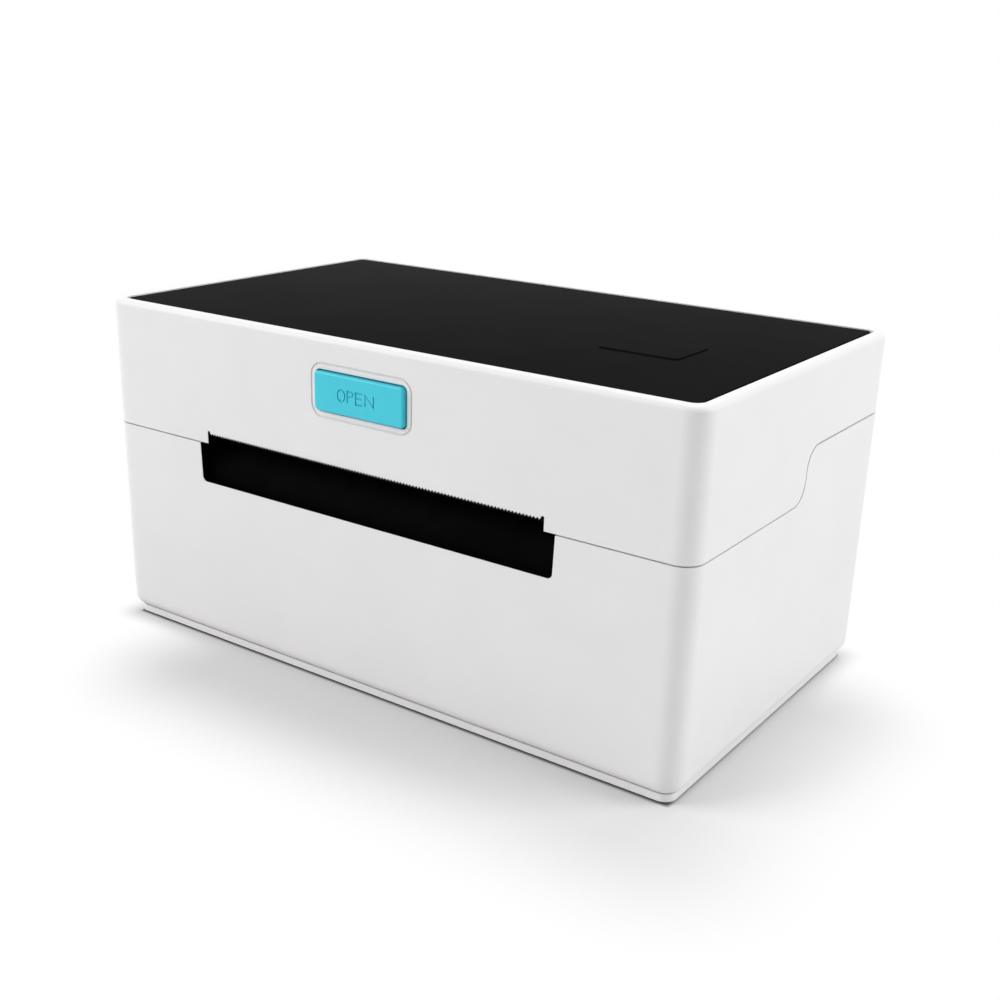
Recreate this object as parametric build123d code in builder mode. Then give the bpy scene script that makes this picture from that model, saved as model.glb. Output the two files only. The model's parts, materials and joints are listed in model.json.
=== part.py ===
from build123d import *
import math
import os

# A desktop shipping label printer: a white box body with a lid that opens on a rear hinge,
# a blue release button, a glossy black top panel and a serrated paper slot in front.
# Millimetres. The origin is on the floor under the centre, the front faces -Y.

# Overall body
width = 190.0
depth = 111.0
height = 97.5
wall = 2.5
corner_radius = 5.5
top_edge_radius = 1.5
bottom_edge_radius = 3.75
foot_height = 0.8
foot_radius = 7.0
bottom_thickness = 2.0
bottom_inset = 2.0
floor_thickness = 2.5
floor_flange = 8.0

# Parting line between base and lid
lid_front_height = 36.0
lid_rear_height = 21.9
seam_gap = 0.35
rear_seam_gap = 0.45
step_from_front = 60.0
step_radius = 6.0
front_seam_z = height - lid_front_height
rear_seam_z = height - lid_rear_height

# Paper path
slot_side_margin = 35.8
slot_taper = 0.4
slot_depth = 11.5
slot_corner_radius = 1.5
channel_margin = 0.8
entry_rise = 3.0
entry_corner_radius = 2.0
print_line_rise = 1.0
nip_from_front = 16.5

# Platen roller and its gears
platen_radius = 7.5
platen_end_margin = 6.0
platen_shaft_radius = 4.0
journal_radius = 3.0
bushing_radius = 5.0
bushing_flange_radius = 6.5
bushing_flange = 1.5
running_gap = 0.05
gear_module = 0.75
pressure_angle = 25.0
addendum = 0.8
dedendum = 1.1
backlash = 0.12
platen_teeth = 26
idler_small_teeth = 12
idler_big_teeth = 36
pinion_teeth = 12
platen_gear_width = 4.0
pinion_width = 3.5
idler_angle = 15.0
motor_angle = 60.0
idler_stud_radius = 2.0
motor_radius = 17.5
motor_length = 21.0
motor_shaft_radius = 1.5
motor_boss_radius = 5.0
motor_ear_reach = 21.0
motor_ear_angle = 15.0

# Side plates
plate_thickness = 1.5
plate_hook_space = 3.75
plate_flange = 12.0
plate_reach_front = 11.0
plate_reach_rear = 36.0

# Deck, guides and rack
deck_thickness = 2.0
deck_drop = 1.5
deck_margin = 0.4
guide_travel = 38.0
guide_rear_space = 9.0
guide_length = 32.0
guide_height = 12.5
guide_thickness = 2.5
guide_lip = 3.0
guide_foot = 9.0
guide_gap = 0.3
rack_module = 0.8
guide_pinion_teeth = 14
rack_lead = 3
rack_height = 5.0
rack_bar = 3.2
guide_stud_radius = 2.0

# Lid
lid_ceiling_thickness = 2.5
rim_width = 3.1
recess_depth = 2.7
recess_radius = 2.8
panel_gap = 0.4
panel_drop = 0.15
panel_bevel_width = 2.3
panel_bevel_drop = 0.55
pad_width = 22.5
pad_depth = 17.5
pad_height = 0.3
pad_x = 56.5
pad_from_front = 47.0
tear_margin = 3.2
tear_rise = 2.9
tooth_pitch = 1.0
tooth_depth = 0.55
tear_relief_width = 0.9
tear_relief_rise = 3.6

# Hinge of the lid
hinge_rise = 12.0
ear_from_side = 19.0
ear_width = 8.0
ear_radius = 2.5
ear_gap = 0.4
hinge_pin_radius = 1.25
knuckle_width = 4.6

# Release button and latch
button_width = 29.2
button_height = 10.3
button_gap = 0.4
button_from_top = 13.65
button_proud = 1.2
button_edge = 0.6
button_flange = 1.6
button_travel = 2.5
ring_width = 33.2
ring_height = 14.5
ring_radius = 3.7
ring_depth = 0.3
ring_groove = 0.45
stem_half_width = 4.0
stem_height = 5.0
stem_gap = 0.6
latch_from_nip = 17.0
latch_rise = 8.5
latch_shaft_radius = 2.0
hook_width = 2.5
strike_radius = 1.5
strike_drop = 5.0
strike_set_back = 2.5

# Print head
head_gap = 0.3
substrate_end_margin = 4.0
substrate_thickness = 1.0
glaze_height = 0.2
glaze_half_width = 1.6
sink_thickness = 4.0
sheet = 1.2
head_depth_front = 9.0
head_depth_rear = 13.0

# Springs
head_spring_radius = 3.0
head_spring_wire = 0.7
head_spring_turns = 4
button_spring_radius = 2.2
button_spring_wire = 0.4
button_spring_turns = 3

# Electronics
board_thickness = 1.6
standoff_height = 5.2
connector_height = 11.0

# Screws
screw_radius = 1.5
screw_sides = 8
head_sides = 14
screw_head_radius = 2.8
screw_head_height = 1.6
pilot_gap = 0.02
press_gap = 0.02
boss_radius = 3.5
post_hole_depth = 10.0

# Worked out places
front = -depth / 2
rear = depth / 2
side = width / 2
slot_half_width = side - slot_side_margin
slot_half_width_low = slot_half_width - slot_taper
channel_half = slot_half_width + channel_margin
platen_half_length = channel_half - platen_end_margin
tear_half_width = slot_half_width - tear_margin
substrate_half_length = channel_half - substrate_end_margin
inner_front = front + wall
inner_rear = rear - wall
inner_side = side - wall
button_z = height - button_from_top
floor_z = foot_height + bottom_thickness
floor_top = floor_z + floor_thickness
step_y = front + step_from_front
ceiling_z = height - recess_depth - lid_ceiling_thickness
paper_z = front_seam_z + print_line_rise
platen_y = front + nip_from_front
platen_z = paper_z - platen_radius
deck_z = paper_z - deck_drop
deck_under = deck_z - deck_thickness
deck_front_y = platen_y + platen_radius + 1.0
entry_z = deck_z + entry_rise
hook_inner = channel_half + 1.0
hook_outer = hook_inner + hook_width
plate_inner = hook_outer + plate_hook_space
plate_outer = plate_inner + plate_thickness
plate_top = front_seam_z + 0.1
plate_front_y = platen_y - plate_reach_front
plate_rear_y = platen_y + plate_reach_rear
plate_base = floor_z + standoff_height - 0.5
latch_y = platen_y + latch_from_nip
latch_z = paper_z + latch_rise
strike_y = latch_y + strike_set_back
strike_z = paper_z - strike_drop
hinge_y = rear - ear_radius
hinge_z = rear_seam_z + hinge_rise
ear_x = side - ear_from_side
board_z = floor_z + standoff_height
board_top = board_z + board_thickness
cover_z = paper_z + 4.5
cover_rear_z = rear_seam_z + 2.4
cover_thickness = 2.0
bracket_z = latch_z + 7.0
guide_front_y = inner_rear - guide_rear_space - guide_length
rack_y = guide_front_y + guide_length / 2
post_x = inner_side - 4.0
post_y = inner_rear - 4.5

gear_reach = gear_module * (platen_teeth + idler_small_teeth) / 2
second_reach = gear_module * (idler_big_teeth + pinion_teeth) / 2
idler_y = platen_y + gear_reach * math.sin(math.radians(idler_angle))
idler_z = platen_z - gear_reach * math.cos(math.radians(idler_angle))
motor_y = idler_y + second_reach * math.sin(math.radians(motor_angle))
motor_z = idler_z - second_reach * math.cos(math.radians(motor_angle))
gear_x = plate_outer + 1.85
gear_x_out = gear_x + platen_gear_width
pinion_x = gear_x_out + 0.6
pinion_x_out = pinion_x + pinion_width
stud_end = pinion_x_out + 1.2

os.makedirs("parts", exist_ok=True)


def keep(piece, name):
    """Labels a finished sub-part and writes its STEP file."""
    piece.part.label = name
    export_step(piece.part, f"parts/{name}.step")


def yz(x):
    """The plane at x, seen with Y to the right and Z up."""
    return Plane(origin=(x, 0, 0), x_dir=(0, 1, 0), z_dir=(1, 0, 0))


def xz(y):
    """The plane at y, seen with X to the right and Z up, facing the front."""
    return Plane(origin=(0, y, 0), x_dir=(1, 0, 0), z_dir=(0, -1, 0))


def involute(radius, base_radius):
    """The involute function at a radius, in radians."""
    angle = math.acos(base_radius / radius)
    return math.tan(angle) - angle


def gear_points(module, teeth, tooth_at):
    """Points round a spur gear with involute flanks, with one tooth centred at tooth_at radians."""
    pitch_radius = module * teeth / 2
    base_radius = pitch_radius * math.cos(math.radians(pressure_angle))
    tip_radius = pitch_radius + addendum * module
    root_radius = pitch_radius - dedendum * module
    half_tooth = math.pi / (2 * teeth) - backlash / (2 * pitch_radius)
    flank_start = max(root_radius, base_radius)
    radii = [flank_start, tip_radius]
    flank = []
    if root_radius < base_radius:
        flank.append((root_radius, half_tooth + involute(pitch_radius, base_radius)))
        radii = [flank_start, pitch_radius, tip_radius]
    for radius in radii:
        spread = involute(pitch_radius, base_radius) - involute(radius, base_radius)
        flank.append((radius, half_tooth + spread))
    points = []
    for tooth in range(teeth):
        centre = tooth_at + 2 * math.pi * tooth / teeth
        for radius, half in flank:
            points.append((radius * math.cos(centre - half), radius * math.sin(centre - half)))
        for radius, half in reversed(flank):
            points.append((radius * math.cos(centre + half), radius * math.sin(centre + half)))
    return points


def rack_points(first_gap, count, direction, pitch_y, back_y):
    """Points round a straight rack along X, its teeth facing direction (+1 or -1) in Y."""
    pitch = math.pi * rack_module
    slope = math.tan(math.radians(pressure_angle))
    tip = addendum * rack_module
    root = dedendum * rack_module
    half_tooth = pitch / 4 - backlash / 2
    points = []
    for tooth in range(count):
        centre = first_gap + pitch * (tooth + 0.5)
        points.append((centre - half_tooth - root * slope, pitch_y - direction * root))
        points.append((centre - half_tooth + tip * slope, pitch_y + direction * tip))
        points.append((centre + half_tooth - tip * slope, pitch_y + direction * tip))
        points.append((centre + half_tooth + root * slope, pitch_y - direction * root))
    start = first_gap
    end = first_gap + pitch * count
    points.insert(0, (start, pitch_y - direction * root))
    points.append((end, pitch_y - direction * root))
    points.append((end, back_y))
    points.append((start, back_y))
    return points


def screws(name, seats, length):
    """Pan head screws: each seat is the place of a head's inner face and the direction of its shank."""
    with BuildPart() as fasteners:
        for place, direction in seats:
            seat = Plane(origin=place, z_dir=direction)
            with BuildSketch(seat):
                RegularPolygon(screw_radius, screw_sides)
            extrude(amount=length)
            with BuildSketch(seat):
                RegularPolygon(screw_head_radius, head_sides)
            extrude(amount=-screw_head_height)
            with BuildSketch(seat.offset(-screw_head_height)):
                RegularPolygon(screw_radius * 0.8, 6)
            extrude(amount=screw_head_height * 0.6, mode=Mode.SUBTRACT)
    keep(fasteners, name)


def springs(name, starts, direction, length, turns, radius, wire):
    """Coil springs wound from each start point along direction, the wire inside the length."""
    climb = length - 1.3 * wire
    with BuildPart() as wound:
        for start in starts:
            foot = Vector(*start) + Vector(*direction) * (0.65 * wire)
            path = Helix(climb / turns, climb, radius, center=foot, direction=direction, mode=Mode.PRIVATE)
            with BuildSketch(Plane(origin=path @ 0, z_dir=path % 0)):
                RegularPolygon(wire / 2, 4)
            sweep(path=path, is_frenet=True)
    keep(wound, name)


def seam_line(front_z, rear_z, rise_y):
    """The side view of a parting line: low in front, a rounded step, high behind."""
    return FilletPolyline(
        (front - 1, front_z), (rise_y, front_z), (rise_y, rear_z), (rear + 1, rear_z), radius=step_radius
    )


# Base shell: walls, a floor flange, screw posts, the paper slot and the hinge ears
corner_posts = [(sx * post_x, sy * post_y) for sx in (-1, 1) for sy in (-1, 1)]
jack_x = -30.0
usb_x = 0.0
ribbon_x = channel_half + 6.0
led_x = ribbon_x - 9.5
feed_x = led_x - 8.5
switch_x = feed_x - 20.0
port_z = board_top + connector_height / 2
jack_radius = 4.2
usb_width = 12.0
switch_width = 19.0
switch_height = 12.8
switch_z = 24.0
switch_bezel = 1.5
feed_z = board_top + 5.0
feed_radius = 3.4
led_radius = 1.5
rear_clearance = 0.3

with BuildPart() as base_shell:
    with BuildSketch(Plane.XY.offset(floor_z)):
        RectangleRounded(width, depth, corner_radius)
    extrude(amount=rear_seam_z - rear_seam_gap - floor_z)
    fillet(base_shell.faces().sort_by(Axis.Z)[0].edges(), bottom_edge_radius)
    with BuildSketch(Plane.XY.offset(floor_top)):
        RectangleRounded(width - 2 * wall, depth - 2 * wall, corner_radius - wall)
    extrude(amount=height, mode=Mode.SUBTRACT)
    with BuildSketch(Plane.XY.offset(floor_z)):
        Rectangle(2 * (inner_side - floor_flange), 2 * (inner_rear - floor_flange))
    extrude(amount=floor_thickness, mode=Mode.SUBTRACT)
    with BuildSketch(Plane.XY.offset(floor_z)):
        with Locations(*corner_posts):
            Circle(boss_radius + 0.7)
    extrude(amount=deck_under - floor_z)
    with BuildSketch(yz(0)):
        with BuildLine():
            seam_line(front_seam_z - seam_gap, rear_seam_z - rear_seam_gap, step_y + seam_gap)
            Polyline(
                (rear + 1, rear_seam_z - rear_seam_gap),
                (rear + 1, height),
                (front - 1, height),
                (front - 1, front_seam_z - seam_gap),
            )
        make_face()
    extrude(amount=side + 1, both=True, mode=Mode.SUBTRACT)
    with BuildSketch(xz(front)) as slot_sketch:
        with BuildLine():
            Polyline(
                (-slot_half_width_low, front_seam_z - slot_depth),
                (slot_half_width_low, front_seam_z - slot_depth),
                (slot_half_width, front_seam_z),
                (-slot_half_width, front_seam_z),
                close=True,
            )
        make_face()
        fillet(slot_sketch.vertices().group_by(Axis.Y)[0], slot_corner_radius)
    extrude(amount=-wall, mode=Mode.SUBTRACT)
    with BuildSketch(xz(rear)) as entry_sketch:
        with Locations((0, (entry_z + rear_seam_z) / 2)):
            Rectangle(2 * slot_half_width, rear_seam_z - entry_z)
        fillet(entry_sketch.vertices().group_by(Axis.Y)[0], entry_corner_radius)
    extrude(amount=wall, mode=Mode.SUBTRACT)
    with BuildSketch(xz(rear)):
        with Locations((jack_x, port_z)):
            Circle(jack_radius + rear_clearance)
        with Locations((usb_x, port_z)):
            Rectangle(usb_width + 2 * rear_clearance, connector_height + 2 * rear_clearance)
        with Locations((switch_x, switch_z)):
            Rectangle(switch_width + 0.2, switch_height + 0.2)
        with Locations((feed_x, feed_z)):
            Circle(feed_radius + rear_clearance)
        with Locations((led_x, feed_z)):
            Circle(led_radius + 0.05)
    extrude(amount=wall, mode=Mode.SUBTRACT)
    for ear_side in (-1, 1):
        with BuildSketch(yz(ear_side * ear_x)):
            with Locations((hinge_y, hinge_z)):
                Circle(ear_radius)
            with Locations((hinge_y, (hinge_z + entry_z) / 2)):
                Rectangle(2 * ear_radius, hinge_z - entry_z)
        extrude(amount=ear_width / 2, both=True)
        with BuildSketch(yz(ear_side * ear_x)):
            with Locations((hinge_y, hinge_z)):
                Circle(hinge_pin_radius + running_gap)
        extrude(amount=ear_width, both=True, mode=Mode.SUBTRACT)
    with BuildSketch(Plane.XY.offset(deck_under)):
        with Locations(*corner_posts):
            RegularPolygon(screw_radius + pilot_gap, screw_sides)
    extrude(amount=-post_hole_depth, mode=Mode.SUBTRACT)
    with BuildSketch(Plane.XY.offset(floor_z)):
        with Locations(*corner_posts):
            RegularPolygon(screw_radius + pilot_gap, screw_sides)
    extrude(amount=post_hole_depth, mode=Mode.SUBTRACT)
keep(base_shell, "base_shell")

# Bottom plate: the flat underside with bosses for the mechanism and the board
plate_screw_x = plate_inner + plate_flange / 2 + 1.0
plate_screws_y = (plate_front_y + 10.0, plate_rear_y - 11.0)
plate_bosses = [(sx * plate_screw_x, y) for sx in (-1, 1) for y in plate_screws_y]
board_left = jack_x - 14.0
board_right = side - 17.0
board_front = 6.0
board_rear = inner_rear - 2.0
board_screws_at = [(board_left + 5, board_front + 4), (board_right - 5, board_front + 4)]
board_screws_at += [(board_left + 5, board_rear - 12), (board_right - 5, board_rear - 12)]
foot_recess = 0.6
bottom_screw_recess = 1.3
feet_at = [(sx * (side - 20), sy * (depth / 2 - 18)) for sx in (-1, 1) for sy in (-1, 1)]

with BuildPart() as bottom_plate:
    with BuildSketch(Plane.XY.offset(foot_height)):
        RectangleRounded(width - 2 * bottom_inset, depth - 2 * bottom_inset, corner_radius - bottom_inset)
    extrude(amount=bottom_thickness)
    with BuildSketch(Plane.XY.offset(floor_z)):
        with Locations(*plate_bosses):
            Circle(boss_radius - 0.5)
    extrude(amount=plate_base - floor_z)
    with BuildSketch(Plane.XY.offset(floor_z)):
        with Locations(*board_screws_at):
            Circle(boss_radius - 0.5)
    extrude(amount=standoff_height)
    with BuildSketch(Plane.XY.offset(floor_z)):
        with Locations(*plate_bosses, *board_screws_at):
            RegularPolygon(screw_radius + pilot_gap, screw_sides)
    extrude(amount=standoff_height, mode=Mode.SUBTRACT)
    with BuildSketch(Plane.XY.offset(foot_height)):
        with Locations(*feet_at):
            Circle(foot_radius + 0.05)
    extrude(amount=foot_recess, mode=Mode.SUBTRACT)
    with BuildSketch(Plane.XY.offset(foot_height)):
        with Locations(*corner_posts):
            RegularPolygon(screw_radius + 0.2, screw_sides)
    extrude(amount=bottom_thickness, mode=Mode.SUBTRACT)
    with BuildSketch(Plane.XY.offset(foot_height)):
        with Locations(*corner_posts):
            RegularPolygon(screw_head_radius + 0.1, head_sides)
    extrude(amount=bottom_screw_recess, mode=Mode.SUBTRACT)
keep(bottom_plate, "bottom_plate")

with BuildPart() as rubber_feet:
    with BuildSketch():
        with Locations(*feet_at):
            Circle(foot_radius)
    extrude(amount=foot_height + foot_recess)
keep(rubber_feet, "rubber_feet")

# Paper deck: the black floor of the label bay, with slots for the roller, hooks, guides and ribbon
deck_half = inner_side - deck_margin
deck_front = inner_front + deck_margin
deck_rear = inner_rear - deck_margin
ramp_run = 6.5
cut_half = plate_outer + deck_margin
plate_step_y = strike_y + 5.3
hook_slot_rear = plate_step_y + deck_margin
gear_slot_half = gear_module * (platen_teeth / 2 + addendum) + 1.2
guide_pitch_radius = rack_module * guide_pinion_teeth / 2
rack_reach = guide_pitch_radius + dedendum * rack_module + rack_bar
guide_face = channel_half - 1.0
post_width = 3.4
post_x_outer = guide_face + 1.4 + post_width
post_slot_inner = guide_face - guide_travel
post_slot_width = rack_bar + 0.6
rack_cover_x = 15.0
sensor_x = -12.0
sensor_y = latch_y + 10.5
sensor_width = 7.4
sensor_depth = 4.4
sensor_gap = 0.3
ribbon_width = 9.6
ribbon_thickness = 0.4
ribbon_y = inner_rear - 5.8

with BuildPart() as paper_deck:
    with BuildSketch(Plane.XY.offset(deck_under)):
        with Locations((0, (deck_front + deck_rear) / 2)):
            RectangleRounded(2 * deck_half, deck_rear - deck_front, corner_radius - wall)
    extrude(amount=deck_thickness)
    with BuildSketch(yz(0)):
        with BuildLine():
            Polyline(
                (deck_rear - ramp_run, deck_z),
                (deck_rear, deck_z),
                (deck_rear, entry_z),
                (deck_rear - 0.8, entry_z),
                close=True,
            )
        make_face()
    extrude(amount=slot_half_width - entry_corner_radius, both=True)
    with BuildSketch(Plane.XY.offset(deck_under)):
        with Locations((0, (deck_front - 1 + deck_front_y) / 2)):
            Rectangle(2 * cut_half, deck_front_y - deck_front + 1)
        with Locations((-(plate_outer + gear_x_out + 1) / 2, platen_y)):
            Rectangle(gear_x_out + 1 - plate_outer, 2 * gear_slot_half)
        for sx in (-1, 1):
            with Locations((sx * (channel_half + cut_half) / 2, (deck_front_y - 1 + hook_slot_rear) / 2)):
                Rectangle(cut_half - channel_half, hook_slot_rear - deck_front_y + 1)
            post_slot_x = sx * (post_slot_inner + post_x_outer + 1) / 2
            with Locations((post_slot_x, rack_y + sx * (rack_reach - rack_bar / 2))):
                Rectangle(post_x_outer + 1 - post_slot_inner, post_slot_width)
        with Locations((sensor_x, sensor_y)):
            Rectangle(sensor_width + 2 * sensor_gap, sensor_depth + 2 * sensor_gap)
        with Locations((ribbon_x, ribbon_y)):
            Rectangle(ribbon_width + 0.8, 3)
        with Locations(*corner_posts):
            RegularPolygon(screw_radius + 0.2, screw_sides)
    extrude(amount=deck_thickness, mode=Mode.SUBTRACT)
    with BuildSketch(Plane.XY.offset(deck_under)):
        with Locations((rack_cover_x, rack_y), (-rack_cover_x, rack_y)):
            RegularPolygon(screw_radius + pilot_gap, screw_sides)
    extrude(amount=deck_thickness - 0.6, mode=Mode.SUBTRACT)
keep(paper_deck, "paper_deck")

up = (0, 0, 1)
down = (0, 0, -1)
body_screw_seats = [((x, y, deck_z), down) for x, y in corner_posts]
body_screw_seats += [((x, y, foot_height + bottom_screw_recess), up) for x, y in corner_posts]
screws("body_screws", body_screw_seats, 8)

# Exit chute: the black curved lip that the printed label slides over, behind the slot
chute_top_y = platen_y - platen_radius - 0.8
chute_top_z = deck_z - 0.7
chute_low_z = front_seam_z - slot_depth
chute_wall = 1.2
chute_flange = 8.0
cheek_front_x = channel_half - 0.2

with BuildPart() as exit_chute:
    with BuildSketch(yz(0)):
        with BuildLine():
            ThreePointArc(
                (chute_top_y, chute_top_z),
                ((chute_top_y + inner_front) / 2 - 1.15, (chute_top_z + chute_low_z) / 2 + 0.65),
                (inner_front, chute_low_z),
            )
            Polyline(
                (inner_front, chute_low_z),
                (inner_front, chute_low_z - chute_flange),
                (inner_front + chute_wall, chute_low_z - chute_flange),
                (inner_front + chute_wall, chute_low_z - 0.8),
            )
            ThreePointArc(
                (inner_front + chute_wall, chute_low_z - 0.8),
                ((chute_top_y + inner_front) / 2, (chute_top_z + chute_low_z) / 2 - 0.2),
                (chute_top_y, chute_top_z - 2.2),
            )
            Line((chute_top_y, chute_top_z - 2.2), (chute_top_y, chute_top_z))
        make_face()
    extrude(amount=cheek_front_x, both=True)
    for sx in (-1, 1):
        with BuildSketch(yz(sx * cheek_front_x)):
            with BuildLine():
                Polyline(
                    (inner_front, chute_low_z - chute_flange),
                    (chute_top_y, chute_low_z - chute_flange),
                    (chute_top_y, deck_z),
                    (inner_front, deck_z),
                    close=True,
                )
            make_face()
        extrude(amount=sx * chute_wall)
keep(exit_chute, "exit_chute")

# Side plates: pressed steel, standing on folded feet, carrying the roller, the strikes and the drive
motor_ears = [
    (
        motor_y + sign * motor_ear_reach * math.cos(math.radians(motor_ear_angle)),
        motor_z + sign * motor_ear_reach * math.sin(math.radians(motor_ear_angle)),
    )
    for sign in (-1, 1)
]


def side_plate(sx, holes):
    """One side plate; sx is -1 for the left and 1 for the right, holes are (y, z, radius)."""
    with BuildPart() as plate:
        with BuildSketch(yz(sx * plate_inner)):
            with BuildLine():
                Polyline(
                    (plate_front_y, plate_base),
                    (plate_rear_y, plate_base),
                    (plate_rear_y, deck_under - 1.5),
                    (plate_step_y, deck_under - 1.5),
                    (plate_step_y, plate_top),
                    (plate_front_y + 3.5, plate_top),
                    (plate_front_y, plate_top - 6),
                    close=True,
                )
            make_face()
            for y, z, radius in holes:
                with Locations((y, z)):
                    Circle(radius, mode=Mode.SUBTRACT)
        extrude(amount=sx * plate_thickness)
        with BuildSketch(Plane.XY.offset(plate_base)):
            with Locations((sx * (plate_inner + plate_flange / 2), (plate_front_y + plate_rear_y) / 2)):
                Rectangle(plate_flange, plate_rear_y - plate_front_y - 8)
            for y in plate_screws_y:
                with Locations((sx * plate_screw_x, y)):
                    RegularPolygon(screw_radius + 0.2, screw_sides, mode=Mode.SUBTRACT)
        extrude(amount=plate_thickness)
    return plate


bushing_hole = (platen_y, platen_z, bushing_radius + pilot_gap)
motor_holes = [(motor_y, motor_z, motor_boss_radius + 0.1)]
motor_holes += [(y, z, screw_radius + 0.1) for y, z in motor_ears]
keep(side_plate(-1, [bushing_hole] + motor_holes), "side_plate_left")
keep(side_plate(1, [bushing_hole]), "side_plate_right")

with BuildPart() as strike_pins:
    for sx in (-1, 1):
        with BuildSketch(yz(sx * (hook_inner - 0.5))):
            with Locations((strike_y, strike_z)):
                Circle(strike_radius)
        extrude(amount=sx * (plate_inner - hook_inner + 0.5))
keep(strike_pins, "strike_pins")

with BuildPart() as platen_bushings:
    for sx in (-1, 1):
        with BuildSketch(yz(sx * plate_inner)):
            with Locations((platen_y, platen_z)):
                Circle(bushing_radius)
        extrude(amount=sx * (plate_thickness + 0.3))
        with BuildSketch(yz(sx * plate_inner)):
            with Locations((platen_y, platen_z)):
                Circle(bushing_flange_radius)
        extrude(amount=-sx * bushing_flange)
        with BuildSketch(yz(sx * (plate_inner - bushing_flange))):
            with Locations((platen_y, platen_z)):
                Circle(journal_radius + running_gap)
        extrude(amount=sx * (bushing_flange + plate_thickness + 0.3), mode=Mode.SUBTRACT)
keep(platen_bushings, "platen_bushings")

# Platen roller
shoulder_x = plate_inner - bushing_flange - 0.25
shaft_left = gear_x_out + 0.3
clip_thickness = 0.6
shaft_right = plate_outer + 2.4

with BuildPart() as platen_shaft:
    with BuildSketch(yz(0)):
        with Locations((platen_y, platen_z)):
            Circle(platen_shaft_radius)
    extrude(amount=shoulder_x, both=True)
    with BuildSketch(yz(shoulder_x)):
        with Locations((platen_y, platen_z)):
            Circle(journal_radius)
    extrude(amount=shaft_right - shoulder_x)
    with BuildSketch(yz(-shoulder_x)):
        with Locations((platen_y, platen_z)):
            Circle(journal_radius)
    extrude(amount=-(shaft_left - shoulder_x))
    chamfer(platen_shaft.edges().filter_by(GeomType.CIRCLE).sort_by(Axis.X)[0], 0.3)
keep(platen_shaft, "platen_shaft")

with BuildPart() as platen_rubber:
    with BuildSketch(yz(0)):
        with Locations((platen_y, platen_z)):
            Circle(platen_radius)
            Circle(platen_shaft_radius, mode=Mode.SUBTRACT)
    extrude(amount=platen_half_length, both=True)
keep(platen_rubber, "platen_rubber")


def ring(x_start, x_end, y, z, outer, inner):
    """A flat ring about an axis along X."""
    with BuildPart() as washer:
        with BuildSketch(yz(x_start)):
            with Locations((y, z)):
                Circle(outer)
                Circle(inner, mode=Mode.SUBTRACT)
        extrude(amount=x_end - x_start)
    return washer


clip_x = plate_outer + 0.6
platen_clip_radius = journal_radius + 0.9
keep(
    ring(clip_x, clip_x + clip_thickness, platen_y, platen_z, platen_clip_radius, journal_radius),
    "platen_clip",
)

# Gears of the drive, in mesh at rest
to_idler = math.atan2(idler_z - platen_z, idler_y - platen_y)
to_motor = math.atan2(motor_z - idler_z, motor_y - idler_y)

with BuildPart() as platen_gear:
    with BuildSketch(yz(-gear_x)):
        with Locations((platen_y, platen_z)):
            Polygon(*gear_points(gear_module, platen_teeth, to_idler), align=None)
            Circle(journal_radius + press_gap, mode=Mode.SUBTRACT)
    extrude(amount=-platen_gear_width)
    with BuildSketch(yz(-gear_x)):
        with Locations((platen_y, platen_z)):
            Circle(bushing_radius)
            Circle(journal_radius + press_gap, mode=Mode.SUBTRACT)
    extrude(amount=gear_x - plate_outer - 0.5)
keep(platen_gear, "platen_gear")

with BuildPart() as idler_gear:
    with BuildSketch(yz(-gear_x)):
        with Locations((idler_y, idler_z)):
            small_gap = to_idler + math.pi + math.pi / idler_small_teeth
            Polygon(*gear_points(gear_module, idler_small_teeth, small_gap), align=None)
    extrude(amount=-(pinion_x - gear_x))
    with BuildSketch(yz(-pinion_x)):
        with Locations((idler_y, idler_z)):
            Polygon(*gear_points(gear_module, idler_big_teeth, to_motor), align=None)
    extrude(amount=-pinion_width)
    with BuildSketch(yz(-gear_x)):
        with Locations((idler_y, idler_z)):
            Circle(idler_stud_radius + running_gap)
    extrude(amount=-(pinion_x_out - gear_x), mode=Mode.SUBTRACT)
keep(idler_gear, "idler_gear")

with BuildPart() as idler_stud:
    with BuildSketch(yz(-plate_outer)):
        with Locations((idler_y, idler_z)):
            Circle(idler_stud_radius)
    extrude(amount=-(stud_end - plate_outer))
    with BuildSketch(yz(-plate_outer)):
        with Locations((idler_y, idler_z)):
            Circle(idler_stud_radius + 1.2)
    extrude(amount=-(gear_x - plate_outer - 0.2))
keep(idler_stud, "idler_stud")
idler_clip_x = -(pinion_x_out + 0.25)
idler_clip_end = idler_clip_x - clip_thickness
idler_clip_radius = idler_stud_radius + 1.6
keep(
    ring(idler_clip_x, idler_clip_end, idler_y, idler_z, idler_clip_radius, idler_stud_radius),
    "idler_clip",
)

# Stepper motor inside the left plate, its pinion outside
motor_flange = 1.0
motor_rear_x = plate_inner - motor_length
with BuildPart() as stepper_motor:
    with BuildSketch(yz(-plate_inner)):
        with Locations((motor_y, motor_z)):
            Circle(motor_radius)
    extrude(amount=motor_length)
    chamfer(stepper_motor.edges().filter_by(GeomType.CIRCLE).sort_by(Axis.X)[-1], 0.8)
    with BuildSketch(yz(-plate_inner)) as ear_sketch:
        with Locations((motor_y, motor_z)):
            SlotCenterToCenter(2 * motor_ear_reach, 8.0, rotation=motor_ear_angle)
        with Locations(*motor_ears):
            RegularPolygon(screw_radius + pilot_gap, screw_sides, mode=Mode.SUBTRACT)
    extrude(amount=motor_flange)
    with BuildSketch(yz(-plate_inner)):
        with Locations((motor_y, motor_z)):
            Circle(motor_boss_radius)
    extrude(amount=-plate_thickness)
    with BuildSketch(yz(-plate_outer)):
        with Locations((motor_y, motor_z)):
            Circle(motor_shaft_radius + running_gap)
    extrude(amount=12, mode=Mode.SUBTRACT)
keep(stepper_motor, "stepper_motor")
short_screw_seats = [((x, y, plate_base + plate_thickness), down) for x, y in plate_bosses]
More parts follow.
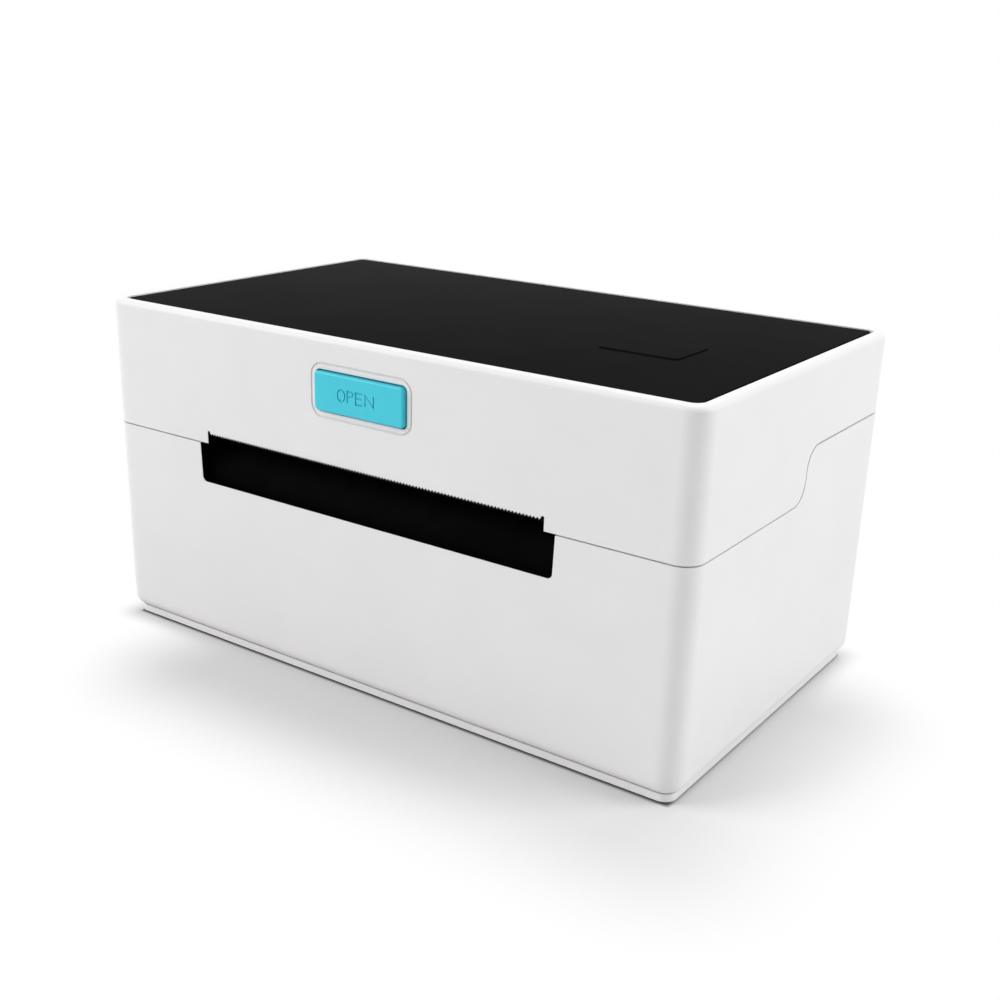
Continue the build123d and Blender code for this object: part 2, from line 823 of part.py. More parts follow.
short_screw_seats += [((x, y, board_top), down) for x, y in board_screws_at]
short_screw_seats += [((-plate_outer, y, z), (1, 0, 0)) for y, z in motor_ears]
screws("short_screws", short_screw_seats, 5)

with BuildPart() as motor_shaft:
    with BuildSketch(yz(-plate_outer + 11)):
        with Locations((motor_y, motor_z)):
            Circle(motor_shaft_radius)
    extrude(amount=-(pinion_x_out + 0.4 - plate_outer + 11))
keep(motor_shaft, "motor_shaft")

with BuildPart() as motor_pinion:
    with BuildSketch(yz(-pinion_x)):
        with Locations((motor_y, motor_z)):
            pinion_gap = to_motor + math.pi + math.pi / pinion_teeth
            Polygon(*gear_points(gear_module, pinion_teeth, pinion_gap), align=None)
            Circle(motor_shaft_radius + press_gap, mode=Mode.SUBTRACT)
    extrude(amount=-pinion_width)
keep(motor_pinion, "motor_pinion")

# Paper guides: fences that slide apart together on a rack each, with a pinion between
rack_top = deck_under - 0.4
rack_low = rack_top - rack_height
rack_pitch = math.pi * rack_module
rack_teeth = math.ceil(post_x_outer / rack_pitch) + rack_lead


def paper_guide(sx):
    """A guide with its rack; sx is -1 for the left and 1 for the right."""
    fence_outer = guide_face + guide_thickness
    foot_outer = guide_face + guide_foot
    foot_z = deck_z + guide_gap
    pitch_y = rack_y + sx * guide_pitch_radius
    back_y = rack_y + sx * rack_reach
    lead = rack_lead * rack_pitch
    tail = rack_teeth * rack_pitch - lead
    first_gap = -tail if sx < 0 else -lead
    with BuildPart() as guide:
        with BuildSketch(xz(guide_front_y)):
            with BuildLine():
                Polyline(
                    (sx * (guide_face - guide_lip), foot_z + guide_height),
                    (sx * (guide_face - guide_lip), foot_z + guide_height - 1.2),
                    (sx * guide_face, foot_z + guide_height - 2.0),
                    (sx * guide_face, foot_z),
                    (sx * foot_outer, foot_z),
                    (sx * foot_outer, foot_z + 1.6),
                    (sx * fence_outer, foot_z + 1.6),
                    (sx * fence_outer, foot_z + guide_height),
                    close=True,
                )
            make_face()
        extrude(amount=-guide_length)
        with BuildSketch(Plane.XY.offset(rack_top)):
            with Locations((sx * (post_x_outer - post_width / 2), (back_y + sx * -rack_bar / 2))):
                Rectangle(post_width, rack_bar)
        extrude(amount=foot_z - rack_top)
        with BuildSketch(Plane.XY.offset(rack_low)):
            Polygon(*rack_points(first_gap, rack_teeth, -sx, pitch_y, back_y), align=None)
        extrude(amount=rack_height)
    return guide


keep(paper_guide(-1), "guide_left")
keep(paper_guide(1), "guide_right")

with BuildPart() as guide_pinion:
    with BuildSketch(Plane.XY.offset(rack_low)):
        with Locations((0, rack_y)):
            Polygon(*gear_points(rack_module, guide_pinion_teeth, math.pi / 2), align=None)
            Circle(guide_stud_radius + running_gap, mode=Mode.SUBTRACT)
    extrude(amount=rack_height)
keep(guide_pinion, "guide_pinion")

rack_cover_top = rack_low - 0.3
rack_cover_thickness = 1.6
with BuildPart() as rack_cover:
    with BuildSketch(Plane.XY.offset(rack_cover_top - rack_cover_thickness)):
        with Locations((0, rack_y)):
            RectangleRounded(2 * rack_cover_x + 9, 2 * rack_reach + 4, 2)
    extrude(amount=rack_cover_thickness)
    with BuildSketch(Plane.XY.offset(rack_cover_top)):
        with Locations((rack_cover_x, rack_y), (-rack_cover_x, rack_y)):
            Circle(boss_radius - 0.7)
    extrude(amount=deck_under - rack_cover_top)
    with BuildSketch(Plane.XY.offset(rack_cover_top - rack_cover_thickness)):
        with Locations((rack_cover_x, rack_y), (-rack_cover_x, rack_y)):
            RegularPolygon(screw_radius + pilot_gap, screw_sides)
    extrude(amount=deck_under - rack_cover_top + rack_cover_thickness, mode=Mode.SUBTRACT)
    with BuildSketch(Plane.XY.offset(rack_cover_top)):
        with Locations((0, rack_y)):
            Circle(guide_stud_radius)
    extrude(amount=deck_under - rack_cover_top)
keep(rack_cover, "rack_cover")
rack_screw_z = rack_cover_top - rack_cover_thickness
rack_screw_length = deck_under - rack_screw_z + deck_thickness - 0.8
rack_screw_seats = [((x, rack_y, rack_screw_z), up) for x in (-rack_cover_x, rack_cover_x)]
screws("rack_screws", rack_screw_seats, rack_screw_length)

# Lid shell: deep in front, shallower behind, open below, with the tear edge and the button opening
ear_slot_half = ear_width / 2 + ear_gap
knuckle_at = ear_slot_half + knuckle_width / 2
recess_floor_z = height - recess_depth
cover_posts = [(sx * (inner_side - 12.5), platen_y - 1.0) for sx in (-1, 1)]
cover_posts_rear = [(sx * (inner_side - 12.5), inner_rear - 17.0) for sx in (-1, 1)]
bracket_posts = [(sx * (channel_half - 10.0), platen_y + dy) for sx in (-1, 1) for dy in (-4.0, 6.0)]


def tear_edge_points():
    """The underside of the paper notch in the lid: a relief at each end and fine teeth between."""
    low = front_seam_z
    root = low + tear_rise
    points = [(-tear_half_width, low - 1), (-tear_half_width, low + tear_relief_rise)]
    points.append((-tear_half_width + tear_relief_width, low + tear_relief_rise))
    start = -tear_half_width + tear_relief_width
    count = round((2 * (tear_half_width - tear_relief_width)) / tooth_pitch)
    pitch = 2 * (tear_half_width - tear_relief_width) / count
    for tooth in range(count):
        points.append((start + tooth * pitch, root + tooth_depth / 2))
        points.append((start + (tooth + 0.5) * pitch, root - tooth_depth / 2))
    points.append((-start, root + tooth_depth / 2))
    points.append((-start, low + tear_relief_rise))
    points.append((tear_half_width, low + tear_relief_rise))
    points.append((tear_half_width, low - 1))
    return points


with BuildPart() as lid_shell:
    with BuildSketch(Plane.XY.offset(front_seam_z)):
        RectangleRounded(width, depth, corner_radius)
    extrude(amount=height - front_seam_z)
    fillet(lid_shell.faces().sort_by(Axis.Z)[-1].edges(), top_edge_radius)
    with BuildSketch(Plane.XY.offset(front_seam_z)):
        RectangleRounded(width - 2 * wall, depth - 2 * wall, corner_radius - wall)
    extrude(amount=ceiling_z - front_seam_z, mode=Mode.SUBTRACT)
    with BuildSketch(Plane.XY.offset(height)):
        RectangleRounded(width - 2 * rim_width, depth - 2 * rim_width, recess_radius)
    extrude(amount=-recess_depth, mode=Mode.SUBTRACT)
    with BuildSketch(yz(0)):
        with BuildLine():
            seam_line(front_seam_z, rear_seam_z, step_y)
            Polyline(
                (rear + 1, rear_seam_z),
                (rear + 1, front_seam_z - 5),
                (front - 1, front_seam_z - 5),
                (front - 1, front_seam_z),
            )
        make_face()
    extrude(amount=side + 1, both=True, mode=Mode.SUBTRACT)
    with BuildSketch(Plane.XY.offset(ceiling_z)):
        with Locations(*cover_posts, *cover_posts_rear):
            Circle(boss_radius)
    extrude(amount=-(ceiling_z - cover_rear_z - cover_thickness))
    with BuildSketch(Plane.XY.offset(ceiling_z)):
        with Locations(*bracket_posts):
            Circle(boss_radius)
    extrude(amount=-(ceiling_z - bracket_z - sheet))
    with BuildSketch(Plane.XY.offset(cover_rear_z + cover_thickness)):
        with Locations(*cover_posts):
            Circle(boss_radius)
    extrude(amount=-(cover_rear_z - cover_z))
    with BuildSketch(Plane.XY.offset(cover_z + cover_thickness)):
        with Locations(*cover_posts):
            RegularPolygon(screw_radius + pilot_gap, screw_sides)
    extrude(amount=8, mode=Mode.SUBTRACT)
    with BuildSketch(Plane.XY.offset(bracket_z + sheet)):
        with Locations(*bracket_posts, *cover_posts_rear):
            RegularPolygon(screw_radius + pilot_gap, screw_sides)
    extrude(amount=8, mode=Mode.SUBTRACT)
    with BuildSketch(xz(front)):
        Polygon(*tear_edge_points(), align=None)
    extrude(amount=-wall, mode=Mode.SUBTRACT)
    with BuildSketch(xz(front)):
        with Locations((0, button_z)):
            RectangleRounded(ring_width, ring_height, ring_radius)
            RectangleRounded(
                ring_width - 2 * ring_groove,
                ring_height - 2 * ring_groove,
                ring_radius - ring_groove,
                mode=Mode.SUBTRACT,
            )
    extrude(amount=-ring_depth, mode=Mode.SUBTRACT)
    with BuildSketch(xz(front)):
        with Locations((0, button_z)):
            RectangleRounded(button_width + 2 * button_gap, button_height + 2 * button_gap, 1.5)
    extrude(amount=-wall, mode=Mode.SUBTRACT)
    for ear_side in (-1, 1):
        with BuildSketch(xz(rear)):
            with Locations((ear_side * ear_x, (rear_seam_z + hinge_z + ear_radius + ear_gap) / 2)):
                Rectangle(2 * ear_slot_half, hinge_z + ear_radius + ear_gap - rear_seam_z)
        extrude(amount=wall + 1, mode=Mode.SUBTRACT)
        for knuckle_side in (-1, 1):
            knuckle_x = ear_side * ear_x + knuckle_side * knuckle_at
            with BuildSketch(yz(knuckle_x)):
                with Locations((hinge_y, hinge_z)):
                    Circle(ear_radius)
                with Locations((hinge_y, (hinge_z + ceiling_z + 0.5) / 2)):
                    Rectangle(2 * ear_radius, ceiling_z + 0.5 - hinge_z)
            extrude(amount=knuckle_width / 2, both=True)
        with BuildSketch(yz(ear_side * ear_x)):
            with Locations((hinge_y, hinge_z)):
                Circle(hinge_pin_radius + pilot_gap)
        extrude(amount=ear_slot_half + knuckle_width, both=True, mode=Mode.SUBTRACT)
keep(lid_shell, "lid_shell")

with BuildPart() as hinge_pins:
    for ear_side in (-1, 1):
        with BuildSketch(yz(ear_side * ear_x)):
            with Locations((hinge_y, hinge_z)):
                Circle(hinge_pin_radius)
        extrude(amount=ear_slot_half + knuckle_width, both=True)
keep(hinge_pins, "hinge_pins")

# Top panel: glossy black, its border sloping down to the rim, with a plain raised pad
panel_top = height - panel_drop
panel_half_x = side - rim_width - panel_gap
panel_half_y = depth / 2 - rim_width - panel_gap
with BuildPart() as top_panel:
    with BuildSketch(Plane.XY.offset(recess_floor_z)):
        RectangleRounded(2 * panel_half_x, 2 * panel_half_y, recess_radius - panel_gap)
    extrude(amount=panel_top - recess_floor_z)
    chamfer(
        top_panel.faces().sort_by(Axis.Z)[-1].edges(),
        length=panel_bevel_drop,
        length2=panel_bevel_width,
        reference=top_panel.faces().sort_by(Axis.Z)[-1],
    )
    with BuildSketch(Plane.XY.offset(panel_top)):
        with Locations((pad_x, front + pad_from_front)):
            RectangleRounded(pad_width, pad_depth, 1.2)
    extrude(amount=pad_height)
keep(top_panel, "top_panel")

# Inner cover of the lid, stepped like the paper path below it, open over the print head
cover_step_front = latch_y + 14.0
cover_step_rear = cover_step_front + 14.0
cover_rear_y = inner_rear - 7.0
cover_open_front = platen_y - 11.5
cover_open_rear = latch_y + 7.0
with BuildPart() as lid_inner_cover:
    with BuildSketch(yz(0)):
        with BuildLine():
            Polyline(
                (inner_front + deck_margin, cover_z),
                (cover_step_front, cover_z),
                (cover_step_rear, cover_rear_z),
                (cover_rear_y, cover_rear_z),
                (cover_rear_y, cover_rear_z + cover_thickness),
                (cover_step_rear - 0.8, cover_rear_z + cover_thickness),
                (cover_step_front - 0.8, cover_z + cover_thickness),
                (inner_front + deck_margin, cover_z + cover_thickness),
                close=True,
            )
        make_face()
    extrude(amount=inner_side - deck_margin, both=True)
    fillet(
        lid_inner_cover.edges().filter_by(Axis.Z).group_by(Axis.Y)[0], corner_radius - wall
    )
    with BuildSketch(Plane.XY.offset(cover_z)):
        with Locations((0, (cover_open_front + cover_open_rear) / 2)):
            Rectangle(2 * (hook_outer + 1.3), cover_open_rear - cover_open_front)
        with Locations((sensor_x, sensor_y)):
            Rectangle(sensor_width + 2 * sensor_gap, sensor_depth + 2 * sensor_gap)
        with Locations(*cover_posts, *cover_posts_rear):
            RegularPolygon(screw_radius + 0.2, screw_sides)
    extrude(amount=20, mode=Mode.SUBTRACT)
keep(lid_inner_cover, "lid_inner_cover")
lid_screw_seats = [((x, y, cover_z), up) for x, y in cover_posts]
lid_screw_seats += [((x, y, cover_rear_z), up) for x, y in cover_posts_rear]
lid_screw_seats += [((x, y, bracket_z), up) for x, y in bracket_posts]
screws("lid_screws", lid_screw_seats, 8)

# Head frame: folded steel sheet under the lid that holds the latch shaft and backs the springs
frame_ear_x = hook_inner - 1.4 - sheet
frame_front = platen_y - 8.0
frame_rear = platen_y + 10.0
button_flange_gap = 0.3
flange_rear_y = inner_front + button_flange_gap + button_flange
button_spring_shut = 2.4
tab_y = flange_rear_y + button_spring_shut + button_travel
stem_slot_height = stem_height + 1.4
with BuildPart() as head_frame:
    with BuildSketch(Plane.XY.offset(bracket_z)):
        with Locations((0, (frame_front + frame_rear) / 2)):
            Rectangle(2 * (frame_ear_x + sheet), frame_rear - frame_front)
        with Locations(*bracket_posts):
            RegularPolygon(screw_radius + 0.2, screw_sides, mode=Mode.SUBTRACT)
    extrude(amount=sheet)
    for sx in (-1, 1):
        with BuildSketch(yz(sx * frame_ear_x)) as ear_outline:
            with Locations((latch_y, latch_z)):
                Circle(latch_shaft_radius + 2.2)
            with Locations((frame_rear - 4.0, bracket_z + sheet / 2)):
                Rectangle(8.0, sheet)
            make_hull()
            with Locations((latch_y, latch_z)):
                Circle(latch_shaft_radius + running_gap, mode=Mode.SUBTRACT)
        extrude(amount=sx * sheet)
    with BuildSketch(xz(tab_y)):
        with Locations((0, (bracket_z + button_z + button_height / 2 + 1) / 2)):
            Rectangle(34, button_z + button_height / 2 + 1 - bracket_z)
        with Locations((0, button_z)):
            Rectangle(2 * stem_half_width + 1.2, stem_slot_height, mode=Mode.SUBTRACT)
    extrude(amount=-sheet)
keep(head_frame, "head_frame")

# Release button, its stem reaching back to the latch lever
lever_y = latch_y - 1.9
with BuildPart() as open_button:
    with BuildSketch(xz(front - button_proud)):
        with Locations((0, button_z)):
            RectangleRounded(button_width, button_height, 1.1)
    extrude(amount=-(flange_rear_y - front + button_proud))
    fillet(open_button.faces().sort_by(Axis.Y)[0].edges(), button_edge)
    with BuildSketch(xz(inner_front + button_flange_gap)):
        with Locations((0, button_z)):
            RectangleRounded(button_width + 3.4, button_height + 2.6, 1.5)
    extrude(amount=-button_flange)
    with BuildSketch(xz(flange_rear_y)):
        with Locations((0, button_z)):
            Rectangle(2 * stem_half_width, stem_height)
    extrude(amount=-(lever_y - stem_gap - flange_rear_y))
    chamfer(open_button.faces().sort_by(Axis.Y)[-1].edges(), 0.5)
keep(open_button, "open_button")
springs(
    "button_springs",
    [(sx * 10.0, flange_rear_y, button_z) for sx in (-1, 1)],
    (0, 1, 0),
    tab_y - flange_rear_y,
    button_spring_turns,
    button_spring_radius,
    button_spring_wire,
)

# Latch: a shaft across the lid with a hook at each end and a lever behind the button
with BuildPart() as latch_shaft:
    with BuildSketch(yz(0)):
        with Locations((latch_y, latch_z)):
            Circle(latch_shaft_radius)
    extrude(amount=hook_outer + 1.2, both=True)
keep(latch_shaft, "latch_shaft")

hook_back = strike_y - strike_radius - 0.8
hook_tip = strike_y + 1.1
hook_top = strike_z - strike_radius - 0.3
with BuildPart() as latch_hooks:
    for sx in (-1, 1):
        with BuildSketch(yz(sx * hook_inner)):
            with BuildLine():
                Polyline(
                    (hook_back - 4.2, latch_z),
                    (hook_back - 4.2, hook_top - 2.6),
                    (hook_back - 1.7, hook_top - 3.6),
                    (hook_tip, hook_top - 1.0),
                    (hook_tip, hook_top),
                    (hook_back, hook_top),
                    (hook_back, latch_z),
                    close=True,
                )
            make_face()
            with Locations((latch_y, latch_z)):
                Circle(latch_shaft_radius + 2.2)
                Circle(latch_shaft_radius + press_gap, mode=Mode.SUBTRACT)
        extrude(amount=sx * hook_width)
keep(latch_hooks, "latch_hooks")

with BuildPart() as latch_lever:
    with BuildSketch(yz(0)):
        with Locations((latch_y, latch_z)):
            Circle(latch_shaft_radius + 2.0)
        with Locations((lever_y + 1.7, (latch_z + button_z + 2.5) / 2)):
            Rectangle(3.4, button_z + 2.5 - latch_z)
        with Locations((latch_y, latch_z)):
            Circle(latch_shaft_radius + press_gap, mode=Mode.SUBTRACT)
    extrude(amount=5.0, both=True)
    chamfer(latch_lever.edges().filter_by(Axis.X).group_by(Axis.Z)[-1], 0.8)
keep(latch_lever, "latch_lever")

with BuildPart() as latch_clips:
    for sx in (-1, 1):
        with BuildSketch(yz(sx * (frame_ear_x + sheet + 0.2))):
            with Locations((latch_y, latch_z)):
                Circle(latch_shaft_radius + 1.4)
                Circle(latch_shaft_radius, mode=Mode.SUBTRACT)
        extrude(amount=sx * clip_thickness)
keep(latch_clips, "latch_clips")

# Print head: carrier on the latch shaft, heat sink, ceramic strip with the heater line
ceramic_low = paper_z + head_gap + glaze_height
sink_low = ceramic_low + substrate_thickness
sink_top = sink_low + sink_thickness
head_front = platen_y - head_depth_front
head_rear = platen_y + head_depth_rear
ceramic_front = platen_y - platen_radius
ceramic_rear = platen_y + head_depth_front
head_screws_at = [(sx * (substrate_half_length - 11.0), head_rear - 5.0) for sx in (-1, 1)]
with BuildPart() as head_ceramic:
    with BuildSketch(yz(0)):
        with BuildLine():
            Polyline(
                (platen_y + glaze_half_width, ceramic_low),
                (ceramic_rear, ceramic_low),
                (ceramic_rear, sink_low),
                (ceramic_front, sink_low),
                (ceramic_front, ceramic_low),
                (platen_y - glaze_half_width, ceramic_low),
            )
            ThreePointArc(
                (platen_y - glaze_half_width, ceramic_low),
                (platen_y, ceramic_low - glaze_height),
                (platen_y + glaze_half_width, ceramic_low),
            )
        make_face()
    extrude(amount=substrate_half_length, both=True)
keep(head_ceramic, "head_ceramic")

with BuildPart() as heat_sink:
    with BuildSketch(yz(0)):
        with BuildLine():
            Polyline(
                (head_front, sink_low),
                (head_rear, sink_low),
                (head_rear, sink_top),
                (head_front + 1.2, sink_top),
                (head_front, sink_top - 1.2),
                close=True,
            )
        make_face()
    extrude(amount=substrate_half_length, both=True)
    with BuildSketch(Plane.XY.offset(sink_top)):
        with Locations(*head_screws_at):
            RegularPolygon(screw_radius + pilot_gap, screw_sides)
    extrude(amount=-3, mode=Mode.SUBTRACT)
keep(heat_sink, "heat_sink")

driver_front = platen_y + 4.5
driver_rear = head_rear - 1.0
with BuildPart() as driver_cover:
    with BuildSketch(yz(0)):
        with BuildLine():
            Polyline(
                (driver_front, ceramic_low),
                (driver_front + 0.8, ceramic_low - 1.1),
                (driver_rear - 1.5, ceramic_low - 1.1),
                (driver_rear, ceramic_low),
                (driver_rear, sink_low),
                (ceramic_rear, sink_low),
                (ceramic_rear, ceramic_low),
                close=True,
            )
        make_face()
    extrude(amount=substrate_half_length - 2, both=True)
keep(driver_cover, "driver_cover")

carrier_ear_x = frame_ear_x - 0.8 - sheet
carrier_front = head_front + 1.5
carrier_rear = head_rear - 0.6
with BuildPart() as head_carrier:
    with BuildSketch(Plane.XY.offset(sink_top)):
        with Locations((0, (carrier_front + carrier_rear) / 2)):
            Rectangle(2 * (carrier_ear_x + sheet), carrier_rear - carrier_front)
        with Locations(*head_screws_at):
            RegularPolygon(screw_radius + 0.2, screw_sides, mode=Mode.SUBTRACT)
    extrude(amount=sheet)
    for sx in (-1, 1):
        with BuildSketch(yz(sx * carrier_ear_x)):
            with Locations((latch_y, latch_z)):
                Circle(latch_shaft_radius + 2.0)
            with Locations((carrier_rear - 5, sink_top + sheet / 2)):
                Rectangle(10, sheet)
            make_hull()
            with Locations((latch_y, latch_z)):
                Circle(latch_shaft_radius + running_gap, mode=Mode.SUBTRACT)
        extrude(amount=sx * sheet)
keep(head_carrier, "head_carrier")

screws("head_screws", [((x, y, sink_top + sheet), down) for x, y in head_screws_at], 3.5)

springs(
    "head_springs",
    [(sx * substrate_half_length / 2, platen_y, sink_top + sheet) for sx in (-1, 1)],
    (0, 0, 1),
    bracket_z - sink_top - sheet,
    head_spring_turns,
    head_spring_radius,
    head_spring_wire,
)

head_socket_x = channel_half - 17.0
with BuildPart() as head_socket:
    with BuildSketch(Plane.XY.offset(sink_low + 0.2)):
        with Locations((head_socket_x, head_rear + 1.6)):
            Rectangle(ribbon_width + 4, 3.2)
    extrude(amount=sink_thickness - 0.6)
keep(head_socket, "head_socket")

# Main board and what sits on it
with BuildPart() as main_board:
    with BuildSketch(Plane.XY.offset(board_z)):
        with Locations(((board_left + board_right) / 2, (board_front + board_rear) / 2)):
            RectangleRounded(board_right - board_left, board_rear - board_front, 2)
        with Locations(*board_screws_at):
            RegularPolygon(screw_radius + 0.2, screw_sides, mode=Mode.SUBTRACT)
    extrude(amount=board_thickness)
keep(main_board, "main_board")

chips = [
    (4, board_front + 14, 14, 14, 1.4),
    (34, board_front + 10, 10, 7, 1.6),
    (-22, board_front + 12, 9, 7, 2.4),
    (34, board_front + 24, 11, 11, 4.5),
    (52, board_front + 20, 6, 5, 1.5),
]
socket_height = 5.0
motor_socket_x = -30.0
motor_socket_y = board_front + 4.0
sockets = [
    (ribbon_x, ribbon_y, ribbon_width + 2, 3.6, socket_height),
    (motor_socket_x, motor_socket_y, 12, 5, socket_height),
    (12, board_front + 3, 8, 4, socket_height),
]
capacitors = [(-14, board_front + 25), (18, board_front + 25)]
with BuildPart() as board_parts:
    for x, y, block_width, block_depth, block_height in chips + sockets:
        with BuildSketch(Plane.XY.offset(board_top)):
            with Locations((x, y)):
                Rectangle(block_width, block_depth)
        extrude(amount=block_height)
    with BuildSketch(Plane.XY.offset(board_top)):
        with Locations(*capacitors):
            Circle(4)
    extrude(amount=10)
keep(board_parts, "board_parts")

jack_depth = 14.0
jack_width = 9.0
jack_bore_radius = 3.2
jack_bore_depth = 10.0
jack_pin_radius = 1.0
with BuildPart() as power_jack:
    with BuildSketch(Plane.XY.offset(board_top)):
        with Locations((jack_x, inner_rear - rear_clearance - jack_depth / 2)):
            Rectangle(jack_width, jack_depth)
    extrude(amount=connector_height)
    with BuildSketch(xz(inner_rear - rear_clearance)):
        with Locations((jack_x, port_z)):
            Circle(jack_radius)
    extrude(amount=-(wall + rear_clearance - 0.3))
    with BuildSketch(xz(rear)):
        with Locations((jack_x, port_z)):
            RegularPolygon(jack_bore_radius, 20)
            RegularPolygon(jack_pin_radius, 8, mode=Mode.SUBTRACT)
    extrude(amount=jack_bore_depth, mode=Mode.SUBTRACT)
keep(power_jack, "power_jack")

usb_depth = 16.0
usb_set_back = 0.5
usb_mouth_width = 8.6
usb_mouth_height = 7.9
usb_mouth_depth = 9.0
usb_tongue_width = 5.6
usb_tongue_height = 3.2
with BuildPart() as usb_port:
    with BuildSketch(xz(rear - usb_set_back)):
        with Locations((usb_x, port_z)):
            Rectangle(usb_width, connector_height)
    extrude(amount=usb_depth)
    with BuildSketch(xz(rear - usb_set_back)) as usb_mouth:
        with Locations((usb_x, port_z)):
            Rectangle(usb_mouth_width, usb_mouth_height)
        chamfer(usb_mouth.vertices().group_by(Axis.Y)[-1], 1.6)
        with Locations((usb_x, port_z)):
            Rectangle(usb_tongue_width, usb_tongue_height, mode=Mode.SUBTRACT)
    extrude(amount=usb_mouth_depth, mode=Mode.SUBTRACT)
keep(usb_port, "usb_port")

# Power switch: a snap-in frame and a rocker that tips left and right
rocker_half = 7.2
rocker_height = 9.2
rocker_tilt = 8.0
rocker_pin = 0.9
rocker_y = rear - 1.6
with BuildPart() as switch_frame:
    with BuildSketch(xz(rear)):
        with Locations((switch_x, switch_z)):
            RectangleRounded(switch_width + 2.5, switch_height + 2.5, 1.2)
    extrude(amount=-switch_bezel)
    with BuildSketch(xz(rear)):
        with Locations((switch_x, switch_z)):
            Rectangle(switch_width, switch_height)
    extrude(amount=14)
    with BuildSketch(xz(rear + switch_bezel)):
        with Locations((switch_x, switch_z)):
            Rectangle(2 * rocker_half + 1.8, rocker_height + 0.4)
    extrude(amount=9, mode=Mode.SUBTRACT)
    with BuildSketch(Plane.XY.offset(switch_z)):
        with Locations((switch_x, rocker_y)):
            Circle(rocker_pin + running_gap)
    extrude(amount=rocker_height / 2 + 0.9, both=True, mode=Mode.SUBTRACT)
keep(switch_frame, "switch_frame")

rocker_frame = Plane(
    origin=(switch_x, rocker_y, switch_z - rocker_height / 2),
    x_dir=(math.cos(math.radians(rocker_tilt)), -math.sin(math.radians(rocker_tilt)), 0),
    z_dir=(0, 0, 1),
)
with BuildPart() as power_rocker:
    with BuildSketch(rocker_frame):
        with BuildLine():
            Line((-rocker_half, 3.4), (0, 2.4))
            Line((0, 2.4), (rocker_half, 3.4))
            Line((rocker_half, 3.4), (rocker_half, 0.6))
            ThreePointArc((rocker_half, 0.6), (0, -3.6), (-rocker_half, 0.6))
            Line((-rocker_half, 0.6), (-rocker_half, 3.4))
        make_face()
    extrude(amount=rocker_height)
    with BuildSketch(Plane.XY.offset(switch_z)):
        with Locations((switch_x, rocker_y)):
            Circle(rocker_pin)
    extrude(amount=rocker_height / 2 + 0.8, both=True)
keep(power_rocker, "power_rocker")

# Feed button behind, its switch on the board, and the status light
feed_travel = 0.6
feed_inner_y = inner_rear - 2.3
with BuildPart() as feed_button:
    with BuildSketch(xz(rear + 0.9)):
        with Locations((feed_x, feed_z)):
            Circle(feed_radius)
    extrude(amount=rear + 0.9 - feed_inner_y)
    chamfer(feed_button.edges().filter_by(GeomType.CIRCLE).sort_by(Axis.Y)[-1], 0.4)
    with BuildSketch(xz(inner_rear - 0.3)):
        with Locations((feed_x, feed_z)):
            Circle(feed_radius + 0.8)
    extrude(amount=1.2)
keep(feed_button, "feed_button")

with BuildPart() as feed_switch:
    with BuildSketch(Plane.XY.offset(board_top)):
        with Locations((feed_x, feed_inner_y - feed_travel - 3.6)):
            Rectangle(6.4, 4)
    extrude(amount=feed_z + 3.2 - board_top)
    with BuildSketch(xz(feed_inner_y - feed_travel - 0.2)):
        with Locations((feed_x, feed_z)):
            Circle(1.6)
    extrude(amount=2)
keep(feed_switch, "feed_switch")

with BuildPart() as status_light:
    with BuildSketch(Plane.XY.offset(board_top)):
        with Locations((led_x, inner_rear - 6.5)):
            Rectangle(4.4, 4)
    extrude(amount=feed_z + 2.2 - board_top)
    with BuildSketch(xz(inner_rear - 4.5)):
        with Locations((led_x, feed_z)):
            Circle(led_radius)
    extrude(amount=-(wall + 4.7))
    chamfer(status_light.edges().filter_by(GeomType.CIRCLE).sort_by(Axis.Y)[-1], 0.5)
keep(status_light, "status_light")

# Label sensors: one looks up through the deck, its partner looks down from the lid
with BuildPart() as label_sensor:
    with BuildSketch(Plane.XY.offset(deck_under)):
        with Locations((sensor_x, sensor_y)):
            Rectangle(sensor_width, sensor_depth)
    extrude(amount=deck_thickness - sensor_gap)
    with BuildSketch(Plane.XY.offset(deck_under)):
        with Locations((sensor_x, sensor_y)):
            Rectangle(16, 11)
    extrude(amount=-1.2)
keep(label_sensor, "label_sensor")

with BuildPart() as upper_sensor:
    with BuildSketch(Plane.XY.offset(cover_z - 1.2)):
        with Locations((sensor_x, sensor_y)):
            Rectangle(sensor_width, sensor_depth)
    extrude(amount=cover_thickness + 1.2)
    with BuildSketch(Plane.XY.offset(cover_z + cover_thickness)):
        with Locations((sensor_x, sensor_y)):
            Rectangle(sensor_width + 6, sensor_depth + 0.8)
    extrude(amount=1.2)
keep(upper_sensor, "upper_sensor")

